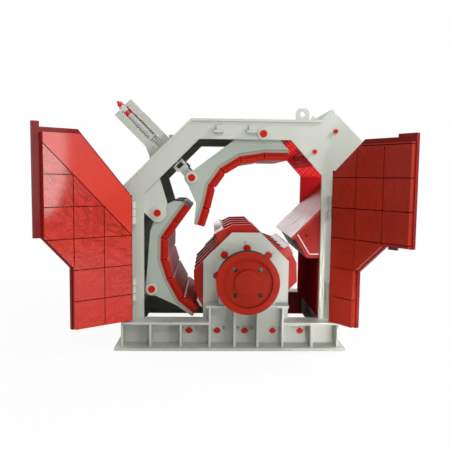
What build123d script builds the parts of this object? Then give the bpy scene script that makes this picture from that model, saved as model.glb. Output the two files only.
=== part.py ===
"""Horizontal-shaft impact crusher, opened for service, built piece by piece.

X runs to the right as seen from the pulley side, Y away from the viewer and Z up.
The origin is on the ground at the middle of the foundation bolts. Sizes are in mm.
"""

import os
from math import cos, hypot, radians, sin, sqrt

from build123d import *

os.makedirs("parts", exist_ok=True)

# Frame depth and plate thicknesses
SIDE_OUT = 690
SIDE_T = 40
SIDE_IN = SIDE_OUT - SIDE_T
COVER_T = 25
COVER_LIP = 15
CUT_OVERRUN = 800
TILE_GAP = 8

# Base beams
BASE_H = 285
BASE_HALF_LENGTH = 1177
TOP_FLANGE_HALF_LENGTH = 1112
BOTTOM_FLANGE_T = 30
TOP_FLANGE_T = 25
BASE_RIB_OUT = 165
BASE_RIB_FRONT = SIDE_OUT + BASE_RIB_OUT
BOTTOM_FLANGE_LIP = 40
BOTTOM_FLANGE_FRONT = BASE_RIB_FRONT + BOTTOM_FLANGE_LIP
FLANGE_INSET = 20
FLANGE_INNER = SIDE_IN - FLANGE_INSET
DISCHARGE_HALF_LENGTH = 1000
END_WEB_OUT = 1095
END_WEB_T = 30
RIB_T = 22
BASE_RIB_XS = (-1103, -816, -506, 837, 1103)
FOUNDATION_HOLE_R = 18
FOUNDATION_HOLE_OUT = 105
FOUNDATION_HOLE_Y = SIDE_OUT + FOUNDATION_HOLE_OUT
FOUNDATION_HOLE_XS = (-980, -640, -340, 340, 640, 980)

# Bearing pedestals, shaft and bearings
SHAFT_X = 163
SHAFT_Z = 722
SHAFT_R = 75
PULLEY_SEAT_R = 65
PEDESTAL_LEFT = -251
PEDESTAL_RIGHT = 596
PEDESTAL_TOP = 459
PEDESTAL_PLATE_T = 25
PEDESTAL_RIB_XS = (-211, 44, 280, 537)
HOUSING_GAP = 25
HOUSING_W = 115
HOUSING_BACK = SIDE_OUT + HOUSING_GAP
HOUSING_FRONT = HOUSING_BACK + HOUSING_W
HOUSING_R = 165
HOUSING_FOOT_HALF = 290
HOUSING_FOOT_H = 70
HOUSING_BORE_GAP = 0.5
HOUSING_COVER_R = 120
HOUSING_COVER_T = 20
HOUSING_BOLT_R = 22
HOUSING_BOLT_H = 60
HOUSING_BOLT_X = 225

# Eight-cornered bearing plates in the side openings
BEARING_PLATE_HALF = 446
BEARING_PLATE_SHOULDER_Z = 895
BEARING_PLATE_TOP_Z = 1190
BEARING_PLATE_TOP_HALF = 152
BEARING_PLATE_HOLE_R = 95

# Side plates with the feed hood
RING_LEFT = -1080
RING_RIGHT = 1105
RING_TOP = 2330
RING_KNEE_Z = 1660
OPEN_LEFT = -900
OPEN_RIGHT = 935
OPEN_TOP = 2150
OPEN_LEFT_KNEE_Z = 1585
OPEN_TOP_LEFT = -335
OPEN_TOP_RIGHT = 605
OPEN_RIGHT_KNEE_Z = 1790

# Feed chute at forty-five degrees: a level is z minus x, a reach is x plus z
HOOD_LEVEL = 1412
CHUTE_FLOOR_LEVEL = 433
FEED_PLATE_UNDER_LEVEL = 468
FEED_PLATE_TOP_LEVEL = 510
MOUTH_REACH = 3484
FEED_TIP_LIP = 36
FEED_BOX_ROTOR_GAP = 79
FEED_BOX_BOTTOM_Z = 925
FEED_BOX_NOSE_X = 800
FEED_BOX_PLATE_T = 30
FEED_BOX_HOLE_R = 12
FEED_BOX_HOLE_IN = 10
FEED_BOX_HOLE_UP = 237
CURTAIN_LEVEL = 1182
CURTAIN_OPENING_GAP = 128
CURTAIN_MOUTH_GAP = 181
CURTAIN_ROD_R = 18
CURTAIN_CAP_R = 22
CURTAIN_CAP_T = 22
CHAIN_SIDE = 16
CHAIN_LENGTH = 140
CHAIN_COUNT = 26
CHAIN_END_GAP = 45

# Right wall and its wear tiles
WALL_IN = 966
WALL_T = 40
WALL_TILE_FACE = 926
WALL_TILE_ROWS = 2
WALL_TILE_COLUMNS = 3
WALL_TILE_BOTTOM = 300

# Lifting eyes, clamp lugs and capped liner bolts on the frame
EYE_X = 718
EYE_W = 140
EYE_H = 115
EYE_T = 30
EYE_HOLE_R = 28
LUG_XS = (-134, 197)
LUG_W = 100
LUG_BOTTOM = 2215
LUG_H = 74
LUG_T = 24
LUG_LEDGE_H = 20
LUG_LEDGE_OUT = 55
CAP_R = 28
CAP_T = 16
CAP_WASHER_R = 36
CAP_WASHER_T = 8
BASE_CAP_XS = (-427, -133, 156, 449, 738)
BASE_CAP_Z = 165
PLATE_CAP_POINTS = ((-65, 960), (171, 1031), (393, 956), (-143, 741), (469, 741))

# Rotor, blow bars and pulley
ROTOR_SIDE_GAP = 35
ROTOR_HALF = SIDE_IN - ROTOR_SIDE_GAP
ROTOR_DISC_T = 64
ROTOR_DISC_COUNT = 5
ROTOR_CORE_R = 300
BAR_TIP_R = 575
BAR_FOOT_R = 385
BAR_HALF_W = 50
BAR_SHOULDER = 12
BAR_FIRST_ANGLE = 31
BAR_COUNT = 4
LOBE_BACK_POINTS = ((311, -364), (441, -330), (538, -155))
LOBE_HEEL_R = 545
LOBE_LIP_R = 500
LOBE_FRONT_POINT = (409, 157)
PULLEY_R = 315
PULLEY_GAP = 65
PULLEY_BACK = HOUSING_FRONT + PULLEY_GAP
PULLEY_W = 130
PULLEY_GROOVES = 4
PULLEY_GROOVE_PITCH = 28
PULLEY_GROOVE_W = 20
PULLEY_GROOVE_FLOOR_W = 10
PULLEY_GROOVE_DEPTH = 22
PULLEY_RIM_IN_R = 249
PULLEY_FACE_DROP = 14
PULLEY_RECESS = 40
PULLEY_WEB_T = 30
PULLEY_HUB_R = 130
PULLEY_HUB_CAP_T = 25
PULLEY_WEB_HOLE_R = 25
PULLEY_WEB_HOLE_PITCH_R = 177
PULLEY_WEB_HOLES = 4
PULLEY_WEB_HOLE_TURN = 45
SHAFT_TAIL_OUT = 115
SHAFT_TAIL = HOUSING_FRONT + SHAFT_TAIL_OUT

# Doors: widths run from the hinge axis, heights from the ground
LEFT_HINGE_X = 1000
RIGHT_HINGE_X = 1020
HINGE_OUT = 75
HINGE_Y = SIDE_OUT + HINGE_OUT
HINGE_R = 30
HINGE_PIN_R = 14
HINGE_PIN_GAP = 0.5
HINGE_LEAF_W = 36
HINGE_ARM_W = 34
KNUCKLE_H = 70
KNUCKLE_GAP = 8
STRAP_LENGTH = 190
STRAP_T = 14
DOOR_BOTTOM = 291
DOOR_CLEAR = 10
DOOR_TILE_T = 58
DOOR_PLATE_T = 42
DOOR_RIB_H = 40
DOOR_TILE_FACE = SIDE_OUT + DOOR_CLEAR
DOOR_TILE_BACK = DOOR_TILE_FACE + DOOR_TILE_T
DOOR_BACK = DOOR_TILE_BACK + DOOR_PLATE_T
DOOR_RIB_BACK = DOOR_BACK + DOOR_RIB_H
DOOR_MARGIN = 10
DOOR_TOP_MARGIN = 48
DOOR_RIB_T = 16
DOOR_RIB_START = 150
DOOR_TILE_PITCH = 300
DOOR_TILE_FIRST_Z = 572
SMALLEST_TILE_SIDE = 40
DOOR_TILE_ROWS = 6
LEFT_SWING = 144
LEFT_HINGE_ZS = (605, 1395)
LEFT_EDGE = 40
LEFT_WIDTH = 934
LEFT_TOP = 2195
LEFT_KNEE_Z = 1590
LEFT_TOP_START = 574
LEFT_NOTCH_W = 658
LEFT_NOTCH_Z = 889
LEFT_FREE_BOTTOM = 1190
LEFT_COLUMNS = (342, 648)
LEFT_PLAIN_HINGE_Z = 1130
LEFT_PLAIN_TOP_Z = 2064
LEFT_RIB_ZS = (430, 1050, 1700)
RIGHT_SWING = 126
RIGHT_HINGE_ZS = (577, 1476)
RIGHT_EDGE = 60
RIGHT_WIDTH = 960
RIGHT_TOP = 2138
RIGHT_KNEE_Z = 1850
RIGHT_TOP_START = 405
RIGHT_NOTCH_W = 368
RIGHT_NOTCH_Z = 850
RIGHT_FREE_START = 678
RIGHT_FREE_BOTTOM = 1138
RIGHT_COLUMNS = (358, 668)
RIGHT_RIB_ZS = (430, 1200, 1720)
MEETING_BAR_W = 66
MEETING_BAR_UP = 50
RIGHT_LUG_W = 190
RIGHT_LUG_UP = 30

# Aprons: lines run from the feed side down to the rotor, as seen from the front
UPPER_FACE_LINE = (
    (593, 1941), (343, 1941), (111, 1902), (-61, 1796), (-167, 1646), (-217, 1426), (-277, 1237)
)
LOWER_FACE_LINE = (
    (-418, 1437), (-540, 1268), (-654, 1101), (-657, 898), (-599, 710), (-485, 501), (-327, 369)
)
LINER_T = 82
LINER_CHAMFER = 14
BACKING_T = 30
UPPER_PLATE_GAP = 10
LOWER_PLATE_GAP = 45
UPPER_LINER_GAP = 25
LOWER_LINER_GAP = 55
UPPER_PLATE_OUT = SIDE_IN - UPPER_PLATE_GAP
LOWER_PLATE_OUT = SIDE_IN - LOWER_PLATE_GAP
UPPER_APRON_HALF = SIDE_IN - UPPER_LINER_GAP
LOWER_APRON_HALF = SIDE_IN - LOWER_LINER_GAP
APRON_PLATE_T = 35
MIDDLE_PLATE_T = 30
UPPER_MIDDLE_BOTTOM = 1580
LOWER_MIDDLE_BOTTOM = 480
UPPER_PIVOT = (320, 2208)
UPPER_PIN = (-411, 1755)
UPPER_PLATE_BACK = (
    (560, 2080), (430, 2240), (230, 2250), (57, 2170), (-387, 1838), (-455, 1690), (-364, 1490)
)
LOWER_PIVOT = (-763, 1386)
LOWER_PIN = (-826, 580)
LOWER_PLATE_BACK = ((-601, 1507), (-760, 1440), (-844, 1184), (-890, 600), (-820, 520), (-560, 400))
PIVOT_LOBE_R = 92
PIN_LOBE_R = 76
PIN_R = 34
PIN_GAP = 0.5
COLLAR_R = 62
COLLAR_T = 22
PIN_CAP_R = 36
PIN_CAP_T = 14
HANGER_T = 35
HANGER_EDGE = (
    (-1000, 1480), (-1000, 1715), (-830, 1885), (-782, 1880), (-663, 1489), (-690, 1340), (-815, 1310)
)

# Apron adjusters: distances run outward along the rod from the apron pin
UPPER_ROD_TURN = -45
LOWER_ROD_TURN = -90
ROD_INSET = 110
ROD_Y = SIDE_IN - ROD_INSET
ROD_ARM_T = 50
ROD_ARM_HALF = 46
UPPER_ARM_LENGTH = 140
LOWER_ARM_LENGTH = 60
YOKE_HALF = 65
YOKE_LENGTH = 76
YOKE_WINDOW_HALF = 36
YOKE_WINDOW_LENGTH = 44
ROD_R = 20
ROD_END_PAST_COVER = 215
ROD_HOLE_R = 39
RAIL_IN = 44
RAIL_W = 72
RAIL_DEPTH = 110
RAIL_WALL_T = 14
RAIL_FOOT_T = 22
RAIL_FOOT_HALF = 170
UPPER_RAIL_LENGTH = 580
LOWER_RAIL_LENGTH = 470
BARREL_R = 40
BARREL_BORE_R = 32
BARREL_START = 145
BARREL_BORE_DEPTH = 160
BARREL_TIE_T = 26
BARREL_PAST_RAILS = 20
BARREL_CAP_R = 30
BARREL_CAP_T = 40
BARREL_TIP_R = 16
BARREL_TIP_T = 26


def area(points):
    """A face from a closed run of points."""
    return make_face(Polyline(*points, close=True))


def stand(face, low, high):
    """A face drawn in X and Z, stood up between two depths."""
    return Pos(0, high, 0) * Rot(90, 0, 0) * extrude(face, high - low, dir=(0, 0, 1))


def block(left, right, near, far, bottom, top):
    """A square block given by its six sides."""
    middle = Pos((left + right) / 2, (near + far) / 2, (bottom + top) / 2)
    return middle * Box(right - left, far - near, top - bottom)


def disc(point, radius):
    """A round face at a point in X and Z."""
    return Pos(*point) * Circle(radius)


def round_bar(point, radius, low, high):
    """A bar along Y."""
    return stand(disc(point, radius), low, high)


def ring_of(shape, axis, count):
    """Copies of a shape, turned evenly about an axis."""
    return [shape.rotate(axis, 360 * i / count) for i in range(count)]


def far_twin(shape):
    """The same piece on the far side of the machine."""
    return mirror(shape, about=Plane.XZ)


def offset_line(points, distance):
    """A run of points moved sideways to the left, with mitred corners."""
    ways = []
    for (x0, z0), (x1, z1) in zip(points, points[1:]):
        length = hypot(x1 - x0, z1 - z0)
        ways.append(((x1 - x0) / length, (z1 - z0) / length))
    moved = []
    for i, (x, z) in enumerate(points):
        before = ways[max(i - 1, 0)]
        after = ways[min(i, len(ways) - 1)]
        nx, nz = -(before[1] + after[1]), before[0] + after[0]
        size = hypot(nx, nz)
        mitre = size / 2
        moved.append((x + nx / size * distance / mitre, z + nz / size * distance / mitre))
    return moved


def chute(level, reach):
    """A point of the sloping feed chute."""
    return (reach - level) / 2, (reach + level) / 2


def write(name, *pieces):
    """Write one node, made of one or more like solids."""
    solids = [solid for piece in pieces for solid in piece.solids()]
    export_step(Compound(solids) if len(solids) > 1 else solids[0], f"parts/{name}.step")
    return solids


def side_base_beam():
    """Near beam of the base: web, flanges and ribs; the pedestal interrupts the top flange."""
    web_top = BASE_H - TOP_FLANGE_T
    length = TOP_FLANGE_HALF_LENGTH
    half = RIB_T / 2
    beam = block(-length, length, -SIDE_OUT, -SIDE_IN, BOTTOM_FLANGE_T, web_top)
    beam += block(
        -BASE_HALF_LENGTH, BASE_HALF_LENGTH, -BOTTOM_FLANGE_FRONT, -FLANGE_INNER, 0, BOTTOM_FLANGE_T
    )
    beam += block(-length, length, -SIDE_OUT, -FLANGE_INNER, web_top, BASE_H)
    beam += block(-length, PEDESTAL_RIB_XS[0] - half, -BASE_RIB_FRONT, -SIDE_OUT, web_top, BASE_H)
    beam += block(PEDESTAL_RIB_XS[-1] + half, length, -BASE_RIB_FRONT, -SIDE_OUT, web_top, BASE_H)
    for x in BASE_RIB_XS:
        beam += block(x - half, x + half, -BASE_RIB_FRONT, -SIDE_OUT, BOTTOM_FLANGE_T, web_top)
    for x in FOUNDATION_HOLE_XS:
        beam -= Pos(x, -FOUNDATION_HOLE_Y, 0) * Cylinder(FOUNDATION_HOLE_R, 4 * BOTTOM_FLANGE_T)
    return beam


def end_base_beam():
    """Left beam of the base, fitted between the two side beams."""
    web_top = BASE_H - TOP_FLANGE_T
    beam = block(-END_WEB_OUT, END_WEB_T - END_WEB_OUT, -SIDE_IN, SIDE_IN, BOTTOM_FLANGE_T, web_top)
    beam += block(
        -BASE_HALF_LENGTH, -DISCHARGE_HALF_LENGTH, -FLANGE_INNER, FLANGE_INNER, 0, BOTTOM_FLANGE_T
    )
    beam += block(
        -TOP_FLANGE_HALF_LENGTH, -DISCHARGE_HALF_LENGTH, -FLANGE_INNER, FLANGE_INNER, web_top, BASE_H
    )
    return beam


def pedestal():
    """Stool for the near bearing, its ribs standing on the bottom flange of the base."""
    seat_z = PEDESTAL_TOP - PEDESTAL_PLATE_T
    back = SIDE_OUT + PEDESTAL_PLATE_T
    stool = block(PEDESTAL_LEFT, PEDESTAL_RIGHT, -BASE_RIB_FRONT, -SIDE_OUT, seat_z, PEDESTAL_TOP)
    stool += block(PEDESTAL_RIB_XS[0], PEDESTAL_RIB_XS[-1], -back, -SIDE_OUT, BASE_H, seat_z)
    half = RIB_T / 2
    for x in PEDESTAL_RIB_XS:
        stool += block(x - half, x + half, -BASE_RIB_FRONT, -SIDE_OUT, BOTTOM_FLANGE_T, seat_z)
    return stool


def bearing_housing():
    """Near pillow block: foot, round body, end cover and two hold-down bolts."""
    shaft = (SHAFT_X, SHAFT_Z)
    foot_top = PEDESTAL_TOP + HOUSING_FOOT_H
    body = block(
        SHAFT_X - HOUSING_R, SHAFT_X + HOUSING_R, -HOUSING_FRONT, -HOUSING_BACK, PEDESTAL_TOP, SHAFT_Z
    )
    body += round_bar(shaft, HOUSING_R, -HOUSING_FRONT, -HOUSING_BACK)
    body += block(
        SHAFT_X - HOUSING_FOOT_HALF,
        SHAFT_X + HOUSING_FOOT_HALF,
        -HOUSING_FRONT,
        -HOUSING_BACK,
        PEDESTAL_TOP,
        foot_top,
    )
    body += round_bar(shaft, HOUSING_COVER_R, -HOUSING_FRONT - HOUSING_COVER_T, -HOUSING_FRONT)
    middle_y = -(HOUSING_FRONT + HOUSING_BACK) / 2
    for side in (-1, 1):
        bolt = Cylinder(HOUSING_BOLT_R, HOUSING_BOLT_H)
        body += Pos(SHAFT_X + side * HOUSING_BOLT_X, middle_y, foot_top + HOUSING_BOLT_H / 2) * bolt
    return body - round_bar(shaft, SHAFT_R + HOUSING_BORE_GAP, -HOUSING_FRONT - CUT_OVERRUN, CUT_OVERRUN)


def bearing_plate():
    """Near eight-cornered plate that closes the side around the shaft."""
    outline = area(
        (
            (SHAFT_X - BEARING_PLATE_HALF, BASE_H),
            (SHAFT_X + BEARING_PLATE_HALF, BASE_H),
            (SHAFT_X + BEARING_PLATE_HALF, BEARING_PLATE_SHOULDER_Z),
            (SHAFT_X + BEARING_PLATE_TOP_HALF, BEARING_PLATE_TOP_Z),
            (SHAFT_X - BEARING_PLATE_TOP_HALF, BEARING_PLATE_TOP_Z),
            (SHAFT_X - BEARING_PLATE_HALF, BEARING_PLATE_SHOULDER_Z),
        )
    )
    plate = stand(outline, -SIDE_OUT, -SIDE_IN)
    return plate - round_bar((SHAFT_X, SHAFT_Z), BEARING_PLATE_HOLE_R, -SIDE_OUT - CUT_OVERRUN, CUT_OVERRUN)


def frame_line():
    """Outer line of the frame from the left foot over the top to the feed mouth."""
    return (
        (RING_LEFT, BASE_H),
        (RING_LEFT, RING_KNEE_Z),
        (RING_LEFT + RING_TOP - RING_KNEE_Z, RING_TOP),
        (RING_TOP - HOOD_LEVEL, RING_TOP),
        chute(HOOD_LEVEL, MOUTH_REACH),
    )


def side_plate():
    """Near side plate: legs, sloped shoulders, top beam and the cheek of the feed hood."""
    outline = frame_line() + (
        chute(CHUTE_FLOOR_LEVEL, MOUTH_REACH),
        (RING_RIGHT, RING_RIGHT + CHUTE_FLOOR_LEVEL),
        (RING_RIGHT, BASE_H),
        (OPEN_RIGHT, BASE_H),
        (OPEN_RIGHT, OPEN_RIGHT_KNEE_Z),
        (OPEN_TOP_RIGHT, OPEN_TOP),
        (OPEN_TOP_LEFT, OPEN_TOP),
        (OPEN_LEFT, OPEN_LEFT_KNEE_Z),
        (OPEN_LEFT, BASE_H),
    )
    holes = disc(UPPER_PIVOT, PIN_R)
    for point in curtain_points():
        holes += disc(point, CURTAIN_ROD_R)
    return stand(area(outline) - holes, -SIDE_OUT, -SIDE_IN)


def covers():
    """Plates lying on the outer edges of both side plates, mitred where they meet."""
    inner = frame_line()
    outer = offset_line(inner, COVER_T)
    half = SIDE_OUT + COVER_LIP
    plates = []
    for i in range(len(inner) - 1):
        plates.append(stand(area((inner[i], inner[i + 1], outer[i + 1], outer[i])), -half, half))
    for side in (-1, 1):
        hole = Pos(0, side * ROD_Y, 0) * Cylinder(ROD_HOLE_R, 2 * CUT_OVERRUN)
        plates[1] -= rod_place(UPPER_PIN, UPPER_ROD_TURN) * hole
        plates[0] -= rod_place(LOWER_PIN, LOWER_ROD_TURN) * hole
    return plates


def chute_plate(low_level, high_level, low_reach, high_reach):
    """A plate along the feed chute, between the side plates."""
    corners = (
        chute(low_level, low_reach),
        chute(low_level, high_reach),
        chute(high_level, high_reach),
        chute(high_level, low_reach),
    )
    return stand(area(corners), -SIDE_IN, SIDE_IN)


def feed_box_tip_reach():
    """Reach at which the box comes within its gap of the blow bars."""
    radius = BAR_TIP_R + FEED_BOX_ROTOR_GAP
    across = FEED_PLATE_UNDER_LEVEL + SHAFT_X - SHAFT_Z
    return SHAFT_X + SHAFT_Z + sqrt(2 * radius * radius - across * across)


def feed_box():
    """Box that stiffens the feed plate over the rotor, with a hole in each cheek."""
    wall_reach = 2 * WALL_IN + FEED_PLATE_UNDER_LEVEL
    outline = area(
        (
            chute(FEED_PLATE_UNDER_LEVEL, wall_reach),
            chute(FEED_PLATE_UNDER_LEVEL, feed_box_tip_reach()),
            (FEED_BOX_NOSE_X, FEED_BOX_BOTTOM_Z),
            (WALL_IN, FEED_BOX_BOTTOM_Z),
        )
    )
    box = stand(outline, -SIDE_IN, SIDE_IN)
    inside = offset(outline, -FEED_BOX_PLATE_T, kind=Kind.INTERSECTION)
    box -= stand(inside, FEED_BOX_PLATE_T - SIDE_IN, SIDE_IN - FEED_BOX_PLATE_T)
    hole = (FEED_BOX_NOSE_X - FEED_BOX_HOLE_IN, FEED_BOX_BOTTOM_Z + FEED_BOX_HOLE_UP)
    return box - round_bar(hole, FEED_BOX_HOLE_R, -SIDE_OUT, SIDE_OUT)


def right_wall():
    """Upright wall under the feed plate."""
    outer = WALL_IN + WALL_T
    outline = (
        (WALL_IN, BASE_H),
        (outer, BASE_H),
        (outer, outer + CHUTE_FLOOR_LEVEL),
        (WALL_IN, WALL_IN + CHUTE_FLOOR_LEVEL),
    )
    return stand(area(outline), -SIDE_IN, SIDE_IN)


def wall_tiles():
    """Wear tiles on the right wall."""
    row_h = (FEED_BOX_BOTTOM_Z - WALL_TILE_BOTTOM) / WALL_TILE_ROWS
    column_w = 2 * SIDE_IN / WALL_TILE_COLUMNS
    tile = Box(WALL_IN - WALL_TILE_FACE, column_w - TILE_GAP, row_h - TILE_GAP)
    tiles = []
    for row in range(WALL_TILE_ROWS):
        for column in range(WALL_TILE_COLUMNS):
            y = (column + 1 / 2) * column_w - SIDE_IN
            z = WALL_TILE_BOTTOM + (row + 1 / 2) * row_h
            tiles.append(Pos((WALL_IN + WALL_TILE_FACE) / 2, y, z) * tile)
    return tiles


def curtain_points():
    """Places of the two curtain rods, one by the side opening and one by the feed mouth."""
    inner = OPEN_TOP_RIGHT + OPEN_TOP + CURTAIN_OPENING_GAP
    outer = MOUTH_REACH - CURTAIN_MOUTH_GAP
    return chute(CURTAIN_LEVEL, inner), chute(CURTAIN_LEVEL, outer)


def curtain_rod(point):
    """A cross rod of the chain curtain, capped outside both side plates."""
    rod = round_bar(point, CURTAIN_ROD_R, -SIDE_OUT, SIDE_OUT)
    cap = round_bar(point, CURTAIN_CAP_R, -SIDE_OUT - CURTAIN_CAP_T, -SIDE_OUT)
    return rod + cap + far_twin(cap)


def curtain_chains(point):
    """Chains hanging from one rod, kept as plain square bars here."""
    x, z = point
    half = CHAIN_SIDE / 2
    span = 2 * (SIDE_IN - CHAIN_END_GAP)
    rod = round_bar(point, CURTAIN_ROD_R, -SIDE_OUT, SIDE_OUT)
    chains = []
    for i in range(CHAIN_COUNT):
        y = span * (i / (CHAIN_COUNT - 1) - 1 / 2)
        chains.append(block(x - half, x + half, y - half, y + half, z - CHAIN_LENGTH, z) - rod)
    return chains


def lifting_eye():
    """Near lifting plate on top of the roof."""
    top = RING_TOP + COVER_T
    outline = Pos(EYE_X, top + EYE_H / 4) * Rectangle(EYE_W, EYE_H / 2)
    outline += disc((EYE_X, top + EYE_H / 2), EYE_W / 2)
    outline -= disc((EYE_X, top + EYE_H / 2), EYE_HOLE_R)
    outline &= Pos(EYE_X, top + EYE_H / 2) * Rectangle(EYE_W, EYE_H)
    return stand(outline, -SIDE_OUT, EYE_T - SIDE_OUT)


def clamp_lug(x):
    """Clamp lug on the near top beam that catches the edge of a closed door."""
    left, right = x - LUG_W / 2, x + LUG_W / 2
    lug = block(left + LUG_T, right - LUG_T, -SIDE_OUT - LUG_T, -SIDE_OUT, LUG_BOTTOM, LUG_BOTTOM + LUG_H)
    ledge_top = LUG_BOTTOM + LUG_LEDGE_H
    return lug + block(left, right, -SIDE_OUT - LUG_LEDGE_OUT, -SIDE_OUT, LUG_BOTTOM, ledge_top)


def liner_cap(point, face):
    """Liner bolt head with washer under a plastic cap, standing on a near face."""
    washer = round_bar(point, CAP_WASHER_R, -face - CAP_WASHER_T, -face)
    return washer + round_bar(point, CAP_R, -face - CAP_WASHER_T - CAP_T, -face - CAP_WASHER_T)


def lobe_point(radius, off, angle):
    """A point of the rotor, given along and across one blow bar."""
    turn = radians(angle)
    return radius * cos(turn) - off * sin(turn), radius * sin(turn) + off * cos(turn)


def bar_angles():
    """Directions of the blow bars."""
    return [BAR_FIRST_ANGLE + 360 * i / BAR_COUNT for i in range(BAR_COUNT)]


def rotor_discs():
    """Rotor discs with a pocket for each blow bar, spaced along the core."""
    points = []
    for angle in bar_angles():
        lobe = LOBE_BACK_POINTS + (
            (LOBE_HEEL_R, -BAR_HALF_W),
            (BAR_FOOT_R, -BAR_HALF_W),
            (BAR_FOOT_R, BAR_HALF_W),
            (LOBE_LIP_R, BAR_HALF_W),
            LOBE_FRONT_POINT,
        )
        points += [lobe_point(along, across, angle) for along, across in lobe]
    outline = Pos(SHAFT_X, SHAFT_Z) * (area(points) - Circle(ROTOR_CORE_R))
    pitch = (2 * ROTOR_HALF - ROTOR_DISC_T) / (ROTOR_DISC_COUNT - 1)
    nears = [i * pitch - ROTOR_HALF for i in range(ROTOR_DISC_COUNT)]
    return [stand(outline, near, near + ROTOR_DISC_T) for near in nears]


def rotor_core():
    """Round core between the shaft and the discs."""
    return stand(Pos(SHAFT_X, SHAFT_Z) * (Circle(ROTOR_CORE_R) - Circle(SHAFT_R)), -ROTOR_HALF, ROTOR_HALF)


def blow_bar(angle):
    """One blow bar with a chamfered striking edge."""
    ends = (
        (BAR_FOOT_R, -BAR_HALF_W),
        (BAR_TIP_R - BAR_SHOULDER, -BAR_HALF_W),
        (BAR_TIP_R, BAR_SHOULDER - BAR_HALF_W),
        (BAR_TIP_R, BAR_HALF_W - BAR_SHOULDER),
        (BAR_TIP_R - BAR_SHOULDER, BAR_HALF_W),
        (BAR_FOOT_R, BAR_HALF_W),
    )
    outline = area([lobe_point(radius, off, angle) for radius, off in ends])
    return stand(Pos(SHAFT_X, SHAFT_Z) * outline, -ROTOR_HALF, ROTOR_HALF)


def shaft():
    """Stepped shaft from the pulley face to the far bearing."""
    point = (SHAFT_X, SHAFT_Z)
    thick = round_bar(point, SHAFT_R, -PULLEY_BACK, SHAFT_TAIL)
    seat_end = PULLEY_BACK + PULLEY_W - PULLEY_FACE_DROP - PULLEY_HUB_CAP_T
    return thick + round_bar(point, PULLEY_SEAT_R, -seat_end, -PULLEY_BACK)


def pulley():
    """Grooved belt pulley turned from one profile, its hub closed in front, with holes in the web."""
    start = (PULLEY_W - PULLEY_GROOVE_PITCH * (PULLEY_GROOVES - 1)) / 2
    rim = [(PULLEY_R, 0)]
    for i in range(PULLEY_GROOVES):
        middle = start + i * PULLEY_GROOVE_PITCH
        floor_r = PULLEY_R - PULLEY_GROOVE_DEPTH
        rim += [
            (PULLEY_R, middle - PULLEY_GROOVE_W / 2),
            (floor_r, middle - PULLEY_GROOVE_FLOOR_W / 2),
            (floor_r, middle + PULLEY_GROOVE_FLOOR_W / 2),
            (PULLEY_R, middle + PULLEY_GROOVE_W / 2),
        ]
    web_face = PULLEY_W - PULLEY_RECESS
    hub_face = PULLEY_W - PULLEY_FACE_DROP
    profile = rim + [
        (PULLEY_R, PULLEY_W),
        (PULLEY_RIM_IN_R, PULLEY_W),
        (PULLEY_RIM_IN_R, web_face),
        (PULLEY_HUB_R, web_face),
        (PULLEY_HUB_R, hub_face),
        (0, hub_face),
        (0, hub_face - PULLEY_HUB_CAP_T),
        (PULLEY_SEAT_R, hub_face - PULLEY_HUB_CAP_T),
        (PULLEY_SEAT_R, 0),
        (PULLEY_HUB_R, 0),
        (PULLEY_HUB_R, web_face - PULLEY_WEB_T),
        (PULLEY_RIM_IN_R, web_face - PULLEY_WEB_T),
        (PULLEY_RIM_IN_R, 0),
    ]
    wheel = revolve(Plane.XZ * area(profile), Axis.Z)
    hole = Pos(PULLEY_WEB_HOLE_PITCH_R, 0, 0) * Cylinder(PULLEY_WEB_HOLE_R, CUT_OVERRUN)
    for cut in ring_of(Rot(0, 0, PULLEY_WEB_HOLE_TURN) * hole, Axis.Z, PULLEY_WEB_HOLES):
        wheel -= cut
    return Pos(SHAFT_X, -PULLEY_BACK, SHAFT_Z) * Rot(90, 0, 0) * wheel


def strip(width, low, high):
    """A level strip of a door, wide enough to be trimmed by its outline."""
    return Pos(width / 2, (low + high) / 2) * Rectangle(width, high - low)


def door_panel(outline, width, rib_zs):
    """Door plate with level ribs on its outer face, drawn closed."""
    panel = stand(outline, -DOOR_BACK, -DOOR_TILE_BACK)
    inset = offset(outline, -DOOR_TOP_MARGIN, kind=Kind.INTERSECTION)
    for z in rib_zs:
        band = strip(width, z - DOOR_RIB_T / 2, z + DOOR_RIB_T / 2)
        rib = inset & (Pos(DOOR_RIB_START, 0) * band)
        panel += stand(rib, -DOOR_RIB_BACK, -DOOR_BACK)
    return panel


def door_tiles(outline, plain, columns, width):
    """Wear tiles cut to the door outline, leaving its top edge bare, and any plain liner."""
    covered = offset(outline, -DOOR_MARGIN, kind=Kind.INTERSECTION) & (Pos(0, -DOOR_TOP_MARGIN) * outline)
    tiled, faces = covered, []
    if plain:
        tiled = covered - offset(plain, TILE_GAP, kind=Kind.INTERSECTION)
        faces = [covered & plain]
    edges = (0,) + tuple(columns) + (width,)
    for left, right in zip(edges, edges[1:]):
        for row in range(DOOR_TILE_ROWS + 1):
            middle = DOOR_TILE_FIRST_Z + (row - 1 / 2) * DOOR_TILE_PITCH
            tile = Rectangle(right - left - TILE_GAP, DOOR_TILE_PITCH - TILE_GAP)
            faces.append(tiled & (Pos((left + right) / 2, middle) * tile))
    pieces = []
    for face in faces:
        for part in face.faces() if face else []:
            if part.area > SMALLEST_TILE_SIDE * SMALLEST_TILE_SIDE:
                pieces.append(stand(part, -DOOR_TILE_BACK, -DOOR_TILE_FACE))
    return pieces


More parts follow.
